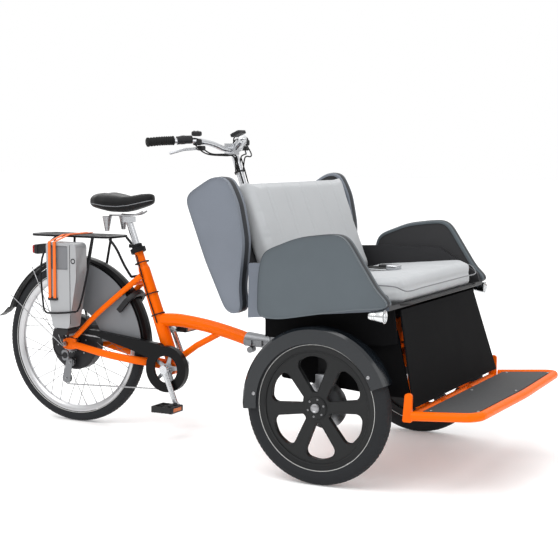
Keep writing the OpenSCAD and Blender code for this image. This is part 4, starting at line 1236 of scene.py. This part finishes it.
def drive():
    """The chainring with its teeth and spider, and the pedals: spindle, cage, grip studs and reflectors."""
    ring = Piece("chainring_and_spider", "cranks")
    r = (high_of("chainring") - low_of("chainring"))[2] / 2
    teeth = 38
    angle = np.arange(teeth * 8) * TAU / (teeth * 8)
    tip = r - 0.0045 + 0.0042 * np.clip(np.cos(teeth * angle) * 1.4, -0.6, 1)
    rows = [(-0.0012, r * 0.80), (-0.0014, None), (0.0014, None), (0.0012, r * 0.80)]
    grid = np.stack([np.stack([CRANK[0] + (tip if rad is None else rad) * np.cos(angle),
        np.full(len(angle), CHAIN_Y + y), CRANK[2] + (tip if rad is None else rad) * np.sin(angle)],
            axis=1) for y, rad in rows])
    ring.add(grid.transpose(1, 0, 2), STEEL, along=True)
    for k in range(5):
        a = TAU * k / 5 + CRANK_ANGLE
        direction = np.array([math.cos(a), 0, math.sin(a)])
        path = np.array([CRANK + [0, CHAIN_Y - 0.003, 0] + direction * d for d in np.linspace(0.012,
            r * 0.86, 8)])
        path[:, 1] += np.linspace(-0.003, 0, 8)
        ring.add(strip(path, [-direction[2], 0, direction[0]], np.linspace(0.011, 0.0055, 8), 0.0026, 12,
            0.6), CAST)
        ring.add(socket_screw(path[-2] + [0, -0.002, 0], [0, -1, 0], 0.005, 0.002), STEEL)
    ring.add(turned(CRANK + [0, CHAIN_Y + 0.004, 0], [0, -1, 0],
        [(0, 0.018), (0.006, 0.022), (0.010, 0.021), (0.012, 0.014)], 40),
        CAST)
    ring.make(replaces=["chainring"])
    for side, word in ((-1, "right"), (1, "left")):
        node = "pedal_" + word
        tip = CRANK + np.array([math.cos(CRANK_ANGLE), 0, math.sin(CRANK_ANGLE)]) * CRANK_LENGTH * -side
        centre = tip + [0, side * 0.151, 0]
        piece = Piece("pedal_body_" + word, node)
        piece.add(turned(tip + [0, side * 0.0926, 0], [0, side, 0],
            [(0, 0.0062), (0.012, 0.0062), (0.013, 0.0088), (0.020, 0.0120),
            (0.080, 0.0120), (0.096, 0.0095), (0.1010, 0.006)], 28), DARK_PLASTIC)
        for x in (-0.041, 0.041):
            path = np.array([centre + [x, d, 0] for d in np.linspace(-0.0405, 0.0405, 6)])
            piece.add(strip(path, [0, 0, 1], 0.0122, 0.0045, 16, 0.3), DARK_PLASTIC)
            sign = 1 if x > 0 else -1
            path = np.array([centre + [x + sign * 0.0038, d, 0] for d in np.linspace(-0.028, 0.028, 6)])
            piece.add(strip(path, [0, 0, 1], 0.0070, 0.0011, 12, 0.3), AMBER_LENS)
        for y in (-0.0375, 0.0, 0.0375):
            path = np.array([centre + [d, y, 0] for d in np.linspace(-0.042, 0.042, 6)])
            piece.add(strip(path, [0, 0, 1], 0.0118, 0.0042, 16, 0.3), DARK_PLASTIC)
            for x in np.linspace(-0.034, 0.034, 5):
                for z in (-1, 1):
                    piece.add(dome(centre + [x, y, z * 0.0118], [0, 0, z], 0.0018, 0.0011, 10), RUBBER)
        piece.make(replaces=[node])


def derailleur():
    """Two toothed guide wheels between the derailleur's cage plates and the cable loop that feeds it."""
    piece = Piece("derailleur_wheels", "rear_frame")
    for x, z, r in ((-1323, 180, 0.0205), (-1304, 246, 0.0185)):
        centre = at(x / 1000, -0.046, z / 1000)
        angle = np.arange(11 * 8) * TAU / 88
        tip = r + 0.0022 * np.clip(np.cos(11 * angle) * 1.4, -0.6, 1)
        rows = [(-0.0012, r * 0.35), (-0.0012, tip), (0.0012, tip), (0.0012, r * 0.35)]
        grid = np.stack([np.stack([centre[0] + rad * np.cos(angle), np.full(88, centre[1] + y),
            centre[2] + rad * np.sin(angle)], axis=1) for y, rad in rows])
        piece.add(grid.transpose(1, 0, 2), DARK_PLASTIC, along=True)
        piece.add(socket_screw(centre + [0, -0.0085, 0], [0, -1, 0], 0.0045, 0.003), STEEL)
    piece.add(turned(at(-1.304, -0.0865, 0.279), [0, -1, 0],
        [(-0.001, 0.0125), (0.002, 0.012), (0.0032, 0.009)], 28), DARK_PLASTIC)
    loop = smooth(spots((-1246, -73, 346), (-1290, -84, 354), (-1338, -92, 340), (-1352, -93, 306),
        (-1332, -90, 280),
        (-1306, -88, 279)), 10)
    piece.add(tube(loop, 0.0025, 8), RUBBER)
    piece.make()


def coupling():
    """The four clamp bolts on top of the cast coupling."""
    piece = Piece("coupling_fittings", "rear_frame")
    for x in (-0.470, -0.446):
        for z, y in ((0.3995, -0.0135), (0.3995, 0.0135)):
            piece.add(socket_screw(at(x, y, z), [0, 0, 1], 0.0048, 0.0045), STEEL)
    piece.make()


def luggage():
    """A fitting on the elastic straps, the lamp's housing, the lock and seams of the battery."""
    piece = Piece("battery_details", "rear_frame")
    y = low_of("battery_case")[1]
    frame_path = [(-1308, 632, 6), (-1308, 728, 8), (-1224, 728, 8), (-1224, 632, 6)]
    loop = side_outline(frame_path, 96)
    path = np.stack([loop[:, 0], np.full(len(loop), y + 0.0006), loop[:, 1]], axis=1)
    piece.add(tube(np.vstack([path, path[:2]]), 0.0016, 8)[:-2], CASE_GREY, along=True)
    inset = side_outline([(-1305, 635, 6), (-1305, 725, 8), (-1227, 725, 8), (-1227, 635, 6)], 80)
    piece.add(plate(inset, y + 0.0052, y + 0.0036, 0.0006), GREY_PLASTIC)
    piece.add(turned(at(-1.200, -0.1675, 0.668), [0, -1, 0],
        [(-0.001, 0.0112), (0.0006, 0.011), (0.0012, 0.009), (0.0004, 0.006)], 28),
        DARK_PLASTIC)
    seam = np.array([at(-1.215, -0.1682, z) for z in np.linspace(0.42, 0.73, 12)])
    piece.add(strip(seam, [1, 0, 0], 0.0011, 0.0006, 8), DARK_PLASTIC)
    piece.make()
    straps = Piece("strap_fittings", "rear_frame")
    outer = low_of("carrier_strap")[1]
    straps.add(block([at(-1.296, 0, 0)[0], outer + 0.0035, 0.517], (0.046, 0.007, 0.014), 0.4), DARK_PLASTIC)
    straps.make()
    lamp = Piece("tail_lamp_parts", "rear_frame")
    low, high = low_of("tail_lamp"), high_of("tail_lamp")
    centre, size = (low + high) / 2, high - low
    lamp.add(block(centre + [size[0] * 0.22, 0, 0], size * [0.56, 1.0, 1.0], 0.22), DARK_PLASTIC)
    lamp.add(block(centre - [size[0] * 0.2, 0, 0], size * [0.58, 0.93, 0.88], 0.25), RED_LENS)
    lamp.add(block(centre - [size[0] * 0.02, 0, 0], size * [0.10, 0.99, 0.97], 0.2), DARK_PLASTIC)
    lamp.make(replaces=["tail_lamp"])


def frame_trim():
    """The cable down the seat tube, its clips and the collar at the tube's top."""
    piece = Piece("frame_cables", "rear_frame")
    run = smooth([on_seat_tube(0.690) + [0.004, -0.0285, 0], on_seat_tube(0.600) + [0, -0.0295, 0],
        on_seat_tube(0.520) + [0, -0.0295, 0], on_seat_tube(0.430) + [0.002, -0.0295, 0]], 10)
    piece.add(tube(run, 0.0026, 8), RUBBER)
    for z in (0.66, 0.54, 0.46):
        lean = np.array([-math.sin(SEAT_LEAN), 0, math.cos(SEAT_LEAN)])
        piece.add(turned(on_seat_tube(z), lean,
            [(-0.0022, 0.0272), (-0.0022, 0.0290), (0.0022, 0.0290), (0.0022, 0.0272)],
            40).transpose(1, 0, 2), DARK_PLASTIC, along=True)
    lean = np.array([-math.sin(SEAT_LEAN), 0, math.cos(SEAT_LEAN)])
    clamp = on_seat_tube(0.708)
    piece.add(turned(clamp, lean, [(-0.010, 0.0278), (-0.009, 0.0305), (0.009, 0.0305), (0.010, 0.0278)],
        40).transpose(1, 0, 2),
        BLACK_PAINT, along=True)
    piece.make()


make_camera()
make_stage()
finish_cad()
tyre("front_right", "front_wheel_right", "tyre_right", 0.209, 0.2105, 96)
tyre("front_left", "front_wheel_left", "tyre_left", 0.209, 0.2105, 96)
tyre("rear", "rear_wheel", "rear_tyre", 0.287, 0.2895, 120)
front_wheel(-1)
front_wheel(1)
rear_wheel()
bench_sides()
cushions()
saddle()
controls()
headlamps()
belts()
panel_screws()
front_guards()
rollers()
drive()
coupling()
luggage()
frame_trim()
seat_lip()
derailleur()
